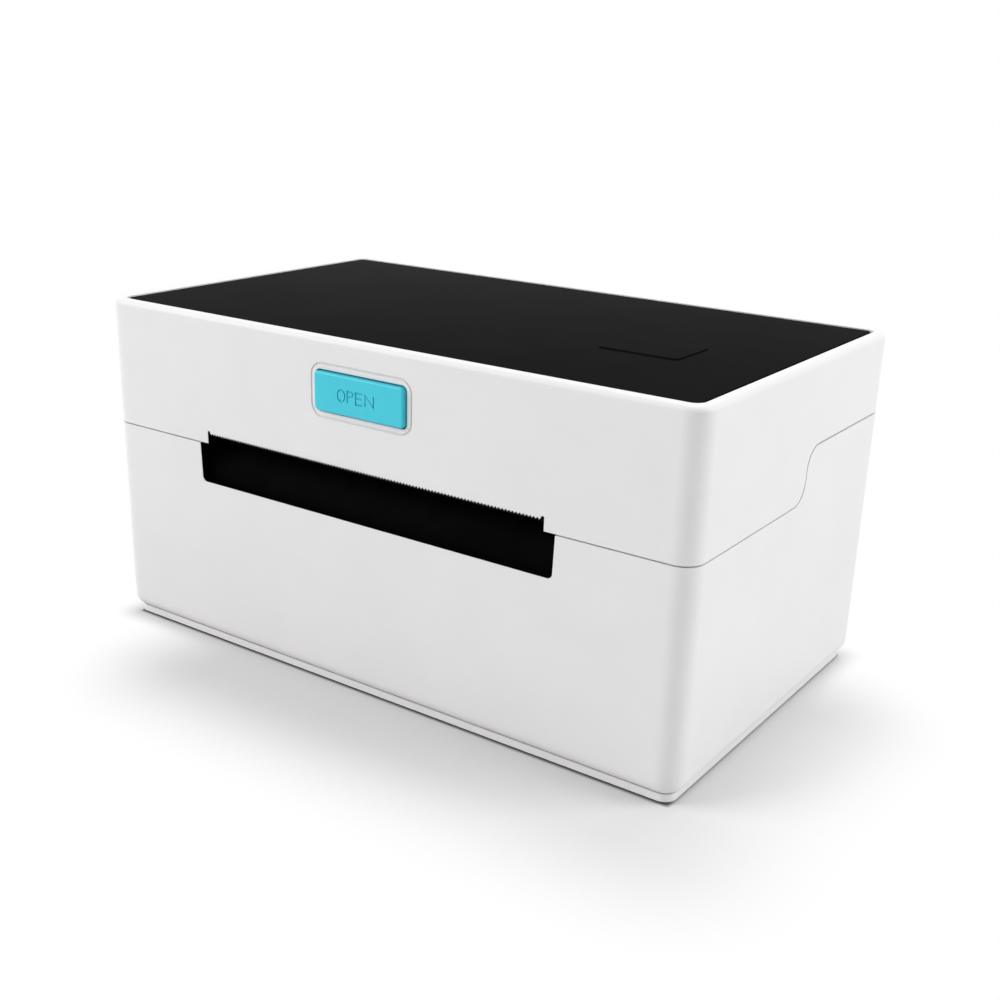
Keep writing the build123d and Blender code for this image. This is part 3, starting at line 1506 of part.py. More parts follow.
# Print head ribbon: flat along the lid, slack over the hinge, and down to the board
ribbon_top_z = cover_rear_z + cover_thickness + 0.1
ribbon_fold_y = cover_step_rear + 14.0
ribbon_end_y = cover_rear_y + 0.4
with BuildPart() as ribbon_lid:
    with BuildSketch(yz(head_socket_x)):
        with BuildLine():
            Polyline(
                (head_rear + 3.2, sink_low + 1.6),
                (cover_open_rear - 0.4, cover_z + cover_thickness + 0.4),
                (cover_step_front - 0.9, cover_z + cover_thickness + 0.4),
                (cover_step_rear - 1.0, ribbon_top_z + 0.4),
                (ribbon_fold_y, ribbon_top_z + 0.4),
                (ribbon_fold_y, ribbon_top_z),
                (cover_step_rear - 0.7, ribbon_top_z),
                (cover_step_front - 0.7, cover_z + cover_thickness + 0.1),
                (cover_open_rear, cover_z + cover_thickness + 0.1),
                (head_rear + 3.2, sink_low + 1.1),
                close=True,
            )
        make_face()
    extrude(amount=ribbon_width / 2, both=True)
    with BuildSketch(Plane.XY.offset(ribbon_top_z)):
        with BuildLine():
            Polyline(
                (head_socket_x - ribbon_width / 2, ribbon_fold_y - 0.5),
                (head_socket_x + ribbon_width / 2, ribbon_fold_y - 0.5),
                (ribbon_x + ribbon_width / 2, ribbon_fold_y - 0.5),
                (ribbon_x + ribbon_width / 2, ribbon_end_y),
                (ribbon_x - ribbon_width / 2, ribbon_end_y),
                (ribbon_x - ribbon_width / 2, ribbon_fold_y + ribbon_width),
                (head_socket_x - ribbon_width / 2, ribbon_fold_y + ribbon_width),
                close=True,
            )
        make_face()
    extrude(amount=ribbon_thickness)
keep(ribbon_lid, "ribbon_lid")

ribbon_base_top = deck_z + 1.0
ribbon_fold_z = (ribbon_top_z - ribbon_base_top) / 4
ribbon_front_y = guide_front_y + guide_length + 1.0
ribbon_rear_y = inner_rear - 0.9
with BuildPart() as ribbon_hinge:
    with BuildSketch(yz(ribbon_x)):
        with BuildLine():
            FilletPolyline(
                (ribbon_y, ribbon_base_top),
                (ribbon_y, ribbon_base_top + 1.2),
                (ribbon_rear_y, ribbon_base_top + ribbon_fold_z - 1),
                (ribbon_front_y, ribbon_base_top + 2 * ribbon_fold_z - 0.5),
                (ribbon_rear_y, ribbon_base_top + 3 * ribbon_fold_z),
                (ribbon_rear_y, ribbon_top_z + ribbon_thickness / 2),
                (ribbon_end_y, ribbon_top_z + ribbon_thickness / 2),
                radius=1.0,
            )
        trace(line_width=ribbon_thickness)
    extrude(amount=ribbon_width / 2, both=True)
keep(ribbon_hinge, "ribbon_hinge")

with BuildPart() as ribbon_base:
    with BuildSketch(Plane.XY.offset(board_top + socket_height)):
        with Locations((ribbon_x, ribbon_y)):
            Rectangle(ribbon_width, ribbon_thickness)
    extrude(amount=ribbon_base_top - board_top - socket_height)
keep(ribbon_base, "ribbon_base")

# Motor cable: from the side of the motor round to its socket on the board
cable_radius = 1.4
cable_bend = 5.0
cable_start_z = motor_z - motor_radius + 6
cable_top_z = board_top + socket_height + 8
with BuildPart() as motor_cable:
    with BuildLine() as cable_route:
        FilletPolyline(
            (-motor_rear_x + 0.1, motor_y, cable_start_z),
            (-motor_rear_x + 9, motor_y, cable_start_z),
            (motor_socket_x - 4, motor_socket_y - 9, cable_top_z),
            (motor_socket_x, motor_socket_y, cable_top_z),
            (motor_socket_x, motor_socket_y, board_top + socket_height),
            radius=[cable_bend, cable_bend, cable_bend],
        )
    with BuildSketch(Plane(origin=cable_route.line @ 0, z_dir=cable_route.line % 0)):
        RegularPolygon(cable_radius, 8)
    sweep()
keep(motor_cable, "motor_cable")
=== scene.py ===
import json
import math

import bmesh
import bpy
from mathutils import Matrix, Vector


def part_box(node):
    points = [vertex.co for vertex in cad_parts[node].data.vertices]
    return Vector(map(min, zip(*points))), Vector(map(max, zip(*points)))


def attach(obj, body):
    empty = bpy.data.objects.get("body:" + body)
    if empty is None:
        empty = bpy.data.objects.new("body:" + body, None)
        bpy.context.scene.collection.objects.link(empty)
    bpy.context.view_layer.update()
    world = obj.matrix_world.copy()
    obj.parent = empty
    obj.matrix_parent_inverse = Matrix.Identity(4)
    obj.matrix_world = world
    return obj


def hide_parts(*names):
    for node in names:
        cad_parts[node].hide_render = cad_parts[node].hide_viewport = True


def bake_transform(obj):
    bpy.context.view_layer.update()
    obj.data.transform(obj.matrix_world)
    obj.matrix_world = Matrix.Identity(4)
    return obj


# A white desktop label printer with a black top panel and a blue release button.
# Metres, in the frame of the CAD model: the front faces -Y and the floor is at z = 0.
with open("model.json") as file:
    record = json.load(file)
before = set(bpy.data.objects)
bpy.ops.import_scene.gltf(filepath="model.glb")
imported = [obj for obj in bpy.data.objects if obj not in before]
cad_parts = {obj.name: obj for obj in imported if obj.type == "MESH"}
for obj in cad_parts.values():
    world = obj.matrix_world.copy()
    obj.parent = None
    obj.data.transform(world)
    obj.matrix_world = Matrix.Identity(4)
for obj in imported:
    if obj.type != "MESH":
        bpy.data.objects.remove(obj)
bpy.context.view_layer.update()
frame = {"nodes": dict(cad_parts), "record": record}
nodes = frame["nodes"]
MM = 0.001


# Camera: solved from the body's edges in the photograph
def make_camera():
    """The camera of the photograph: its place, direction, roll, focal length and shift."""
    azimuth = math.radians(35.088)
    elevation = math.radians(20.370)
    roll = math.radians(1.527)
    place = (0.21048, -0.29872, 0.16641)
    back = Vector(
        (
            math.sin(azimuth) * math.cos(elevation),
            -math.cos(azimuth) * math.cos(elevation),
            math.sin(elevation),
        )
    )
    level = Vector((math.cos(azimuth), math.sin(azimuth), 0))
    upright = back.cross(level)
    right = math.cos(roll) * level + math.sin(roll) * upright
    up = -math.sin(roll) * level + math.cos(roll) * upright
    data = bpy.data.cameras.new("camera")
    data.sensor_width = 36
    data.lens = 47.25
    data.shift_x = 0.0140
    data.shift_y = 0.0376
    data.clip_start = 0.01
    data.clip_end = 20
    camera = bpy.data.objects.new("camera", data)
    bpy.context.scene.collection.objects.link(camera)
    turn = Matrix((right, up, back)).transposed().to_4x4()
    camera.matrix_world = Matrix.Translation(place) @ turn
    bpy.context.scene.camera = camera


# Materials
class Finish:
    """A material built up in steps round one Principled shader."""

    def __init__(self, name, colour, roughness, metallic=0.0, specular=0.5):
        self.name = name
        self.material = bpy.data.materials.new(name)
        self.material.use_nodes = True
        self.tree = self.material.node_tree
        self.shader = self.tree.nodes["Principled BSDF"]
        self.colour = colour
        self.shader.inputs["Base Color"].default_value = (*colour, 1)
        self.shader.inputs["Roughness"].default_value = roughness
        self.shader.inputs["Metallic"].default_value = metallic
        self.shader.inputs["Specular IOR Level"].default_value = specular
        self.place = self.tree.nodes.new("ShaderNodeTexCoord").outputs["Object"]
        self.normal = None

    def link(self, source, target):
        self.tree.links.new(source, target)

    def noise(self, scale, detail=3.0, stretch=(1, 1, 1)):
        """Noise over the object, scale in features per metre."""
        mapping = self.tree.nodes.new("ShaderNodeMapping")
        mapping.inputs["Scale"].default_value = stretch
        texture = self.tree.nodes.new("ShaderNodeTexNoise")
        texture.inputs["Scale"].default_value = scale
        texture.inputs["Detail"].default_value = detail
        self.link(self.place, mapping.inputs["Vector"])
        self.link(mapping.outputs["Vector"], texture.inputs["Vector"])
        return texture.outputs["Fac"]

    def stripes(self, pitch, axis):
        """Bands across an axis, 0 to 1 to 0 once in each pitch."""
        wave = self.tree.nodes.new("ShaderNodeTexWave")
        wave.bands_direction = axis
        wave.inputs["Scale"].default_value = math.pi / (10 * pitch)
        self.link(self.place, wave.inputs["Vector"])
        return wave.outputs["Fac"]

    def limits(self, value, low, high, out_low=0.0, out_high=1.0):
        """value from low to high becomes out_low to out_high."""
        ramp = self.tree.nodes.new("ShaderNodeMapRange")
        ramp.inputs["From Min"].default_value = low
        ramp.inputs["From Max"].default_value = high
        ramp.inputs["To Min"].default_value = out_low
        ramp.inputs["To Max"].default_value = out_high
        self.link(value, ramp.inputs["Value"])
        return ramp.outputs["Result"]

    def tint(self, other, amount):
        """Mixes another colour in by a factor between 0 and 1."""
        mix = self.tree.nodes.new("ShaderNodeMix")
        mix.data_type = "RGBA"
        mix.inputs["A"].default_value = (*self.colour, 1)
        mix.inputs["B"].default_value = (*other, 1)
        self.link(amount, mix.inputs["Factor"])
        self.link(mix.outputs["Result"], self.shader.inputs["Base Color"])
        return self

    def mottle(self, other, scale):
        """Slow variation between the base colour and another."""
        return self.tint(other, self.limits(self.noise(scale), 0.35, 0.65))

    def uneven(self, low, high, scale, stretch=(1, 1, 1)):
        """Roughness that varies over the surface."""
        value = self.limits(self.noise(scale, stretch=stretch), 0.3, 0.7, low, high)
        self.link(value, self.shader.inputs["Roughness"])
        return self

    def soft_edges(self, radius):
        """Small rounding on every edge, in the shading only."""
        bevel = self.tree.nodes.new("ShaderNodeBevel")
        bevel.samples = 4
        bevel.inputs["Radius"].default_value = radius
        self.normal = bevel.outputs["Normal"]
        self.link(self.normal, self.shader.inputs["Normal"])
        return self

    def relief(self, height, depth, strength=1.0):
        """Bump from a height between 0 and 1, depth in metres."""
        bump = self.tree.nodes.new("ShaderNodeBump")
        bump.inputs["Distance"].default_value = depth
        bump.inputs["Strength"].default_value = strength
        self.link(height, bump.inputs["Height"])
        if self.normal:
            self.link(self.normal, bump.inputs["Normal"])
        self.normal = bump.outputs["Normal"]
        self.link(self.normal, self.shader.inputs["Normal"])
        return self

    def grain(self, scale, depth, stretch=(1, 1, 1)):
        """Fine random relief, as on a textured mould."""
        return self.relief(self.noise(scale, 4.0, stretch), depth)


def white_plastic():
    made = Finish("white_plastic", (0.805, 0.792, 0.795), 0.42, specular=0.4)
    made.mottle((0.79, 0.779, 0.781), 60)
    return made.soft_edges(0.25 * MM).grain(2600, 0.012 * MM)


def black_panel():
    made = Finish("black_panel", (0.0066, 0.0066, 0.0073), 0.14, specular=0.0003)
    made.mottle((0.0078, 0.0078, 0.0085), 40)
    made.uneven(0.11, 0.17, 30)
    return made.soft_edges(0.2 * MM).grain(900, 0.002 * MM)


def blue_plastic():
    made = Finish("blue_plastic", (0.055, 0.60, 0.735), 0.36, specular=0.35)
    made.mottle((0.052, 0.585, 0.72), 90)
    return made.soft_edges(0.15 * MM).grain(2600, 0.008 * MM)


def black_plastic():
    made = Finish("black_plastic", (0.012, 0.012, 0.013), 0.5, specular=0.3)
    made.mottle((0.016, 0.016, 0.017), 80)
    return made.soft_edges(0.2 * MM).grain(2200, 0.02 * MM)


def chute_black_and_painted_shade():
    """Deep matt black without gloss: the exit chute's own black plastic made darker, and painted
    shade for what shows through the paper slot.
    """
    made = Finish("chute_black_and_painted_shade", (0.0015, 0.0015, 0.0016), 0.7, specular=0.01)
    made.mottle((0.0022, 0.0022, 0.0023), 120)
    return made.grain(1800, 0.02 * MM)


def grey_plastic():
    made = Finish("grey_plastic", (0.22, 0.225, 0.23), 0.45)
    made.mottle((0.25, 0.25, 0.255), 120)
    return made.soft_edges(0.15 * MM).grain(2400, 0.012 * MM)


def white_nylon():
    made = Finish("white_nylon", (0.74, 0.73, 0.69), 0.38)
    made.shader.inputs["Subsurface Weight"].default_value = 0.1
    made.shader.inputs["Subsurface Scale"].default_value = 0.6 * MM
    made.mottle((0.70, 0.69, 0.65), 150)
    return made.soft_edges(0.08 * MM).grain(1500, 0.006 * MM)


def steel():
    made = Finish("steel", (0.55, 0.56, 0.57), 0.34, metallic=1.0)
    made.mottle((0.48, 0.49, 0.52), 220)
    made.uneven(0.26, 0.42, 260, (1, 1, 6))
    return made.soft_edges(0.12 * MM).grain(1200, 0.006 * MM, (1, 1, 8))


def spring_steel():
    made = Finish("spring_steel", (0.46, 0.46, 0.48), 0.28, metallic=1.0)
    made.mottle((0.40, 0.40, 0.43), 500)
    return made.soft_edges(0.05 * MM).grain(2500, 0.004 * MM)


def aluminium():
    made = Finish("aluminium", (0.72, 0.73, 0.75), 0.36, metallic=1.0)
    made.uneven(0.28, 0.45, 400, (0.1, 4, 4))
    return made.soft_edges(0.15 * MM).grain(1500, 0.008 * MM, (0.1, 3, 3))


def brass():
    made = Finish("brass", (0.72, 0.53, 0.24), 0.3, metallic=1.0)
    made.mottle((0.62, 0.45, 0.20), 400)
    return made.soft_edges(0.06 * MM).grain(1800, 0.004 * MM)


def gold_contact():
    made = Finish("gold_contact", (0.83, 0.60, 0.25), 0.22, metallic=1.0)
    made.uneven(0.16, 0.3, 900)
    return made.grain(3000, 0.003 * MM)


def black_rubber():
    made = Finish("black_rubber", (0.016, 0.016, 0.017), 0.72, specular=0.35)
    made.mottle((0.024, 0.024, 0.024), 240)
    return made.soft_edges(0.2 * MM).grain(3200, 0.02 * MM)


def ceramic():
    made = Finish("ceramic", (0.42, 0.30, 0.14), 0.18)
    made.tint((0.60, 0.47, 0.25), made.limits(made.stripes(0.5 * MM, "X"), 0.45, 0.55))
    return made.soft_edges(0.05 * MM).grain(800, 0.002 * MM)


def heater_line():
    made = Finish("heater_line", (0.05, 0.035, 0.03), 0.3)
    made.mottle((0.09, 0.06, 0.045), 700)
    return made.grain(1500, 0.003 * MM)


def board_green():
    made = Finish("board_green", (0.012, 0.12, 0.05), 0.28)
    made.tint((0.03, 0.21, 0.09), made.limits(made.stripes(1.3 * MM, "Y"), 0.6, 0.7))
    return made.relief(made.stripes(1.3 * MM, "Y"), 0.03 * MM)


def flat_cable():
    made = Finish("flat_cable", (0.62, 0.63, 0.64), 0.32)
    made.tint((0.34, 0.33, 0.31), made.limits(made.stripes(1.0 * MM, "X"), 0.4, 0.6))
    return made.relief(made.stripes(1.0 * MM, "X"), 0.05 * MM)


def led_clear():
    made = Finish("led_clear", (0.55, 0.62, 0.58), 0.12)
    made.shader.inputs["Subsurface Weight"].default_value = 0.3
    made.shader.inputs["Subsurface Scale"].default_value = 1.0 * MM
    made.mottle((0.50, 0.58, 0.54), 700)
    return made.grain(900, 0.002 * MM)


def printed_white():
    made = Finish("printed_white", (0.78, 0.78, 0.77), 0.5)
    made.mottle((0.70, 0.70, 0.69), 900)
    return made.grain(3000, 0.004 * MM)


def dress(piece, finish):
    """Gives a piece one material on all its faces."""
    if not piece.data.materials:
        piece.data.materials.append(finish.material)
    for slot in range(len(piece.material_slots)):
        piece.material_slots[slot].material = finish.material


def dress_frame(finishes):
    """Gives every CAD node the finish of its material slot in the record."""
    # The exit chute gets the deep black: its own black plastic darkened with painted shade.
    own = {"ribbon_lid": "flat_cable", "ribbon_base": "flat_cable", "exit_chute": "chute_black_and_painted_shade"}
    for entry in frame["record"]["subparts"]:
        name = own.get(entry["node"], entry["material_slot"])
        dress(nodes[entry["node"]], finishes[name])


# Mesh building
def skin(rings, wrap=False):
    """A closed mesh through rings of as many points each, with its ends capped or joined."""
    sheet = bmesh.new()
    loops = [[sheet.verts.new(point) for point in ring] for ring in rings]
    sides = len(loops[0])
    pairs = list(zip(loops, loops[1:]))
    if wrap:
        pairs.append((loops[-1], loops[0]))
    for first, second in pairs:
        for i in range(sides):
            j = (i + 1) % sides
            sheet.faces.new((first[i], first[j], second[j], second[i]))
    if not wrap:
        sheet.faces.new(loops[0])
        sheet.faces.new(loops[-1])
    bmesh.ops.recalc_face_normals(sheet, faces=sheet.faces)
    mesh = bpy.data.meshes.new("skin")
    sheet.to_mesh(mesh)
    sheet.free()
    return smooth(mesh)


def smooth(mesh, angle=35):
    """Smooth shading, with edges sharper than the angle left sharp."""
    mesh.shade_smooth()
    mesh.set_sharp_from_angle(angle=math.radians(angle))
    return mesh


def joined(meshes, places=None):
    """One mesh from several, each moved by its own matrix."""
    sheet = bmesh.new()
    for i, mesh in enumerate(meshes):
        if places:
            mesh.transform(places[i])
        sheet.from_mesh(mesh)
        bpy.data.meshes.remove(mesh)
    mesh = bpy.data.meshes.new("joined")
    sheet.to_mesh(mesh)
    sheet.free()
    return smooth(mesh)


def band(path, across, deep, closed=False):
    """A band along a flat path in XY, across wide in that plane and deep along Z."""
    longest_mitre = 1.5
    least_dot = 0.01
    points = [Vector((*point, 0)) for point in path]
    count = len(points)
    high = Vector((0, 0, deep / 2))
    rings = []
    for i, point in enumerate(points):
        steps = []
        if closed or i > 0:
            steps.append((point - points[i - 1]).normalized())
        if closed or i + 1 < count:
            steps.append((points[(i + 1) % count] - point).normalized())
        along = sum(steps, Vector()).normalized()
        side = Vector((-along.y, along.x, 0))
        mitre = min(longest_mitre, 1 / max(along.dot(steps[0]), least_dot))
        edge = side * (across / 2 * mitre)
        near = point + edge
        far = point - edge
        rings.append([near + high, far + high, far - high, near - high])
    return skin(rings, wrap=closed)


def arc(middle, radius_x, radius_y, first, last, steps):
    """Points on an ellipse between two angles in degrees."""
    points = []
    for i in range(steps + 1):
        a = math.radians(first + (last - first) * i / steps)
        points.append((middle[0] + radius_x * math.cos(a), middle[1] + radius_y * math.sin(a)))
    return points


def oval(middle, radius_x, radius_y):
    """24 points round a whole ellipse."""
    return arc(middle, radius_x, radius_y, 0, 345, 23)


def lathe(profile, middle, sides=32, wrap=False):
    """A mesh turned about the Y direction through middle, from (radius, y) pairs."""
    rings = []
    for radius, y in profile:
        ring = []
        for i in range(sides):
            a = 2 * math.pi * i / sides
            ring.append((middle.x + radius * math.cos(a), y, middle.z + radius * math.sin(a)))
        rings.append(ring)
    return skin(rings, wrap)


def coil(low, high, radius, wire, turns):
    """A compression spring from point low to point high, its end turns closed."""
    end_turns = 0.75
    steps_in_turn = 20
    sides = 8
    axis = high - low
    length = axis.length
    axis.normalize()
    first = axis.orthogonal().normalized()
    second = axis.cross(first)

    def outward_at(turn):
        a = 2 * math.pi * turn
        return first * math.cos(a) + second * math.sin(a)

    rise_middle = length - wire - 2 * end_turns * wire
    total = turns + 2 * end_turns
    steps = round(total * steps_in_turn)
    centres = []
    for i in range(steps + 1):
        turn = total * i / steps
        opened = min(max(turn - end_turns, 0), turns) / turns
        closed = min(turn, end_turns) + max(turn - end_turns - turns, 0)
        height = wire / 2 + closed * wire + opened * rise_middle
        centres.append(low + axis * height + outward_at(turn) * radius)
    rings = []
    for i, centre in enumerate(centres):
        along = (centres[min(i + 1, steps)] - centres[max(i - 1, 0)]).normalized()
        outward = outward_at(total * i / steps).normalized()
        upward = along.cross(outward).normalized()
        ring = []
        for k in range(sides):
            b = 2 * math.pi * k / sides
            ring.append(centre + (outward * math.cos(b) + upward * math.sin(b)) * (wire / 2))
        rings.append(ring)
    return skin(rings)


# Pieces that the scene adds
def linked(name, mesh, finish):
    """Puts a mesh in the scene with its finish."""
    piece = bpy.data.objects.new(name, mesh)
    bpy.context.scene.collection.objects.link(piece)
    dress(piece, finish)
    return piece


def new_piece(name, mesh, finish, body):
    """Links a mesh as a piece that rides on a body."""
    piece = linked(name, mesh, finish)
    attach(piece, body)
    return piece


def facing(origin, outward):
    """The frame at origin whose Z is outward, whose Y is as near up as can be."""
    outward = outward.normalized()
    across = Vector((0, 0, 1)).cross(outward).normalized()
    upward = outward.cross(across)
    turn = Matrix((across, upward, outward)).transposed().to_4x4()
    return Matrix.Translation(origin) @ turn


def word_open(depth):
    """The word OPEN as thin upright strokes round the origin, its strokes depth deep."""
    height = 3.0 * MM
    width = 12.2 * MM
    stroke = 0.4 * MM
    middle = height / 2
    bar = 1.65 * MM
    o_half = 1.25 * MM
    p_flat = 0.9 * MM
    p_bowl_from = 1.0 * MM
    p_bowl_wide = 0.8 * MM
    p_bowl_high = 0.5 * (height - bar)
    e_wide = 2.2 * MM
    e_bar = 2.0 * MM
    n_wide = 2.7 * MM
    letter_o = oval((o_half, middle), o_half, middle)
    letter_p = [(0, 0), (0, height), (p_flat, height)]
    letter_p += arc((p_bowl_from, bar + p_bowl_high), p_bowl_wide, p_bowl_high, 80, -80, 10)
    letter_p += [(p_flat, bar), (0, bar)]
    letter_e = [(e_wide, 0), (0, 0), (0, height), (e_wide, height)]
    letter_n = [(0, 0), (0, height), (n_wide, 0), (n_wide, height)]
    # Left end of each stroke, its path, and whether it closes on itself
    strokes = (
        (0.16 * MM, letter_o, True),
        (3.46 * MM, letter_p, False),
        (6.21 * MM, letter_e, False),
        (6.21 * MM, [(0, bar), (e_bar, bar)], False),
        (9.31 * MM, letter_n, False),
    )
    meshes = []
    places = []
    for left, path, closed in strokes:
        meshes.append(band(path, stroke, depth, closed))
        places.append(Matrix.Translation((left - width / 2, -middle, 0)))
    return joined(meshes, places)


def front_face_middle(name):
    """The middle height of a node's frontmost face."""
    as_far = 0.1 * MM
    corners = [v.co for v in nodes[name].data.vertices]
    front_y = min(co.y for co in corners)
    heights = [co.z for co in corners if co.y < front_y + as_far]
    return (min(heights) + max(heights)) / 2


def engraved_button():
    """The release button with the word OPEN cut into its face."""
    word_left_of_middle = 0.6 * MM
    cut_depth = 0.35 * MM
    faces_front = -0.999
    low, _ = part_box("open_button")
    middle = front_face_middle("open_button")
    cutter_mesh = word_open(2 * cut_depth)
    cutter_mesh.transform(facing(Vector((-word_left_of_middle, low.y, middle)), Vector((0, -1, 0))))
    cutter = bpy.data.objects.new("word_cutter", cutter_mesh)
    blank = bpy.data.objects.new("button_blank", nodes["open_button"].data.copy())
    for piece in (cutter, blank):
        bpy.context.scene.collection.objects.link(piece)
    cut = blank.modifiers.new("engrave", "BOOLEAN")
    cut.operation = "DIFFERENCE"
    cut.solver = "EXACT"
    cut.use_self = True
    cut.object = cutter
    bpy.context.view_layer.update()
    graph = bpy.context.evaluated_depsgraph_get()
    mesh = bpy.data.meshes.new_from_object(blank.evaluated_get(graph))
    for piece in (cutter, blank):
        bpy.data.objects.remove(piece)
    smooth(mesh)
    for face in mesh.polygons:
        if face.normal.y < faces_front:
            face.use_smooth = False
    blue = finishes["blue_plastic"]
    piece = new_piece("button_engraved", mesh, blue, "button")
    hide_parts("open_button")


def painted_shade_sheets():
    """Painted shade: thin black sheets inside the paper slot, and on the tear edge behind its
    teeth, where there is only shade.
    """
    thick = 0.12 * MM
    clear = 0.03 * MM
    front = -55.5 * MM
    back = -53.0 * MM
    seam = 61.5 * MM

    slot_low = 50.0 * MM
    slot_half = 59.2 * MM
    slot_half_low = 58.8 * MM
    corner = 1.5 * MM
    below_seam = 0.4 * MM
    painted_shade_depth = back - front - 0.1 * MM
    inset = clear + thick / 2
    half = arc((slot_half_low - corner, slot_low + corner), corner, corner, -90, 0, 6)
    half.append((slot_half, seam - below_seam))
    path = [(x - inset, z + inset) for x, z in half]
    path = [(-x, z) for x, z in reversed(path)] + path
    # Painted shade: a black sheet along the slot's walls, which darkens the slot as its shade
    # would.
    painted_shade_sheet = band(path, thick, painted_shade_depth)
    stand = Matrix(((1, 0, 0, 0), (0, 0, -1, (front + back) / 2), (0, 1, 0, 0), (0, 0, 0, 1)))
    painted_shade_sheet.transform(stand)
    black = finishes["chute_black_and_painted_shade"]
    new_piece("slot_painted_shade", painted_shade_sheet, black, "base")

    notch_half = 56.0 * MM
    relief_half = 55.1 * MM
    relief_top = 65.1 * MM
    tooth_root = 64.675 * MM
    tooth_tip = 64.125 * MM
    teeth = 110
    pitch = 2 * relief_half / teeth
    land = 0.06 * MM
    # Corners of the lid's edge, each with the way the painted-shade sheet stands off it, aside and
    # down
    left = [
        (-notch_half, seam, 1, 0),
        (-notch_half, relief_top, 1, -1),
        (-relief_half, relief_top, -1, -1),
        (-relief_half, tooth_root, -1, -1),
    ]
    right = [(-x, z, -aside, down) for x, z, aside, down in reversed(left)]
    between = []
    for k in range(1, 2 * teeth):
        between.append((-relief_half + k / 2 * pitch, tooth_tip if k % 2 else tooth_root, 0, -1))
    near_y = front + land
    rings = []
    for x, z, aside, down in left + between + right:
        near_x = x + aside * clear
        near_z = z + down * clear
        far_x = near_x + aside * thick
        far_z = near_z + down * thick
        ring = [(near_x, near_y, near_z), (near_x, back, near_z)]
        ring += [(far_x, back, far_z), (far_x, near_y, far_z)]
        rings.append(ring)
    # Painted shade: a black sheet behind the teeth, which makes the notches dark as shade would.
    new_piece("tear_painted_shade", skin(rings), black, "lid")


def coil_springs():
    """The springs behind the button and over the print head."""
    # Solid, piece, body that moves and its side of the spring, then the distance from the
    # middle, the coil's radius and the wire, all in mm, and the number of open turns
    wound = (
        ("button_springs", "button_coils", "button", (0, -1, 0), 10.0, 2.2, 0.4, 3),
        ("head_springs", "head_coils", "head", (0, 0, -1), 28.0, 3.0, 0.7, 4),
    )
    for node, name, moved, direction, from_middle, radius, wire, turns in wound:
        low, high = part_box(node)
        middle = (low + high) / 2
        middle.x = 0
        toward = Vector(direction)
        reach = abs((high - low).dot(toward)) / 2
        fixed = middle - toward * reach
        moving = middle + toward * reach
        meshes = []
        for side in (-1, 1):
            aside = Vector((side * from_middle * MM, 0, 0))
            meshes.append(coil(fixed + aside, moving + aside, radius * MM, wire * MM, turns))
        piece = linked(name, joined(meshes), finishes["spring_steel"])
        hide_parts(node)
        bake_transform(piece)


def head_ribbon():
    """The flat cable of the print head where it crosses the hinge, in loose folds."""
    width = 9.6 * MM
    thickness = 0.4 * MM
    # (y, z) in mm: both ends, and the corners that the folds round off
    route = (
        (47.2, 62.0),
        (47.2, 63.2),
        (52.1, 65.53),
        (45.0, 70.55),
        (52.1, 75.58),
        (52.1, 80.3),
        (46.4, 80.3),
    )
    steps = 10
    turned = [Vector(point) * MM for point in route]
    marks = [turned[0]] + [(a + b) / 2 for a, b in zip(turned[1:], turned[2:-1])] + [turned[-1]]
    path = []
    for begin, corner, end in zip(marks, turned[1:-1], marks[1:]):
        for k in range(steps):
            t = k / steps
            path.append(begin * (1 - t) ** 2 + corner * 2 * t * (1 - t) + end * t**2)
    path.append(marks[-1])
    low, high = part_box("ribbon_hinge")
    middle_x = (low.x + high.x) / 2
    mesh = band(path, thickness, width)
    stand = Matrix(((0, 0, 1, middle_x), (1, 0, 0, 0), (0, 1, 0, 0), (0, 0, 0, 1)))
    mesh.transform(stand)
    piece = linked("ribbon_fold", mesh, finishes["flat_cable"])
    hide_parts("ribbon_hinge")
    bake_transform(piece)


def rocker_marks():
    """The marks I and O, moulded a little proud of the rocker's two faces."""
    proud = 0.08 * MM
    pivot = Vector((28.0, 53.9, 24.0)) * MM
    tilt = math.radians(-8)
    face_slope = math.atan2(1.0, 7.2)
    from_pivot = 3.6 * MM
    face_rise = 2.9 * MM
    half_high = 1.5 * MM
    half_wide = 1.25 * MM
    along = Vector((math.cos(tilt), math.sin(tilt), 0))
    outward = Vector((-math.sin(tilt), math.cos(tilt), 0))
    line = band([(0, -half_high), (0, half_high)], 0.45 * MM, 2 * proud)
    ring = band(oval((0, 0), half_wide, half_high), 0.42 * MM, 2 * proud, closed=True)
    meshes = []
    places = []
    for side, mesh in ((-1, line), (1, ring)):
        middle = pivot + along * (side * from_pivot) + outward * face_rise
        normal = outward * math.cos(face_slope) - along * (side * math.sin(face_slope))
        meshes.append(mesh)
        places.append(facing(middle, normal))
    marks = joined(meshes, places)
    new_piece("rocker_marks", marks, finishes["printed_white"], "rocker")


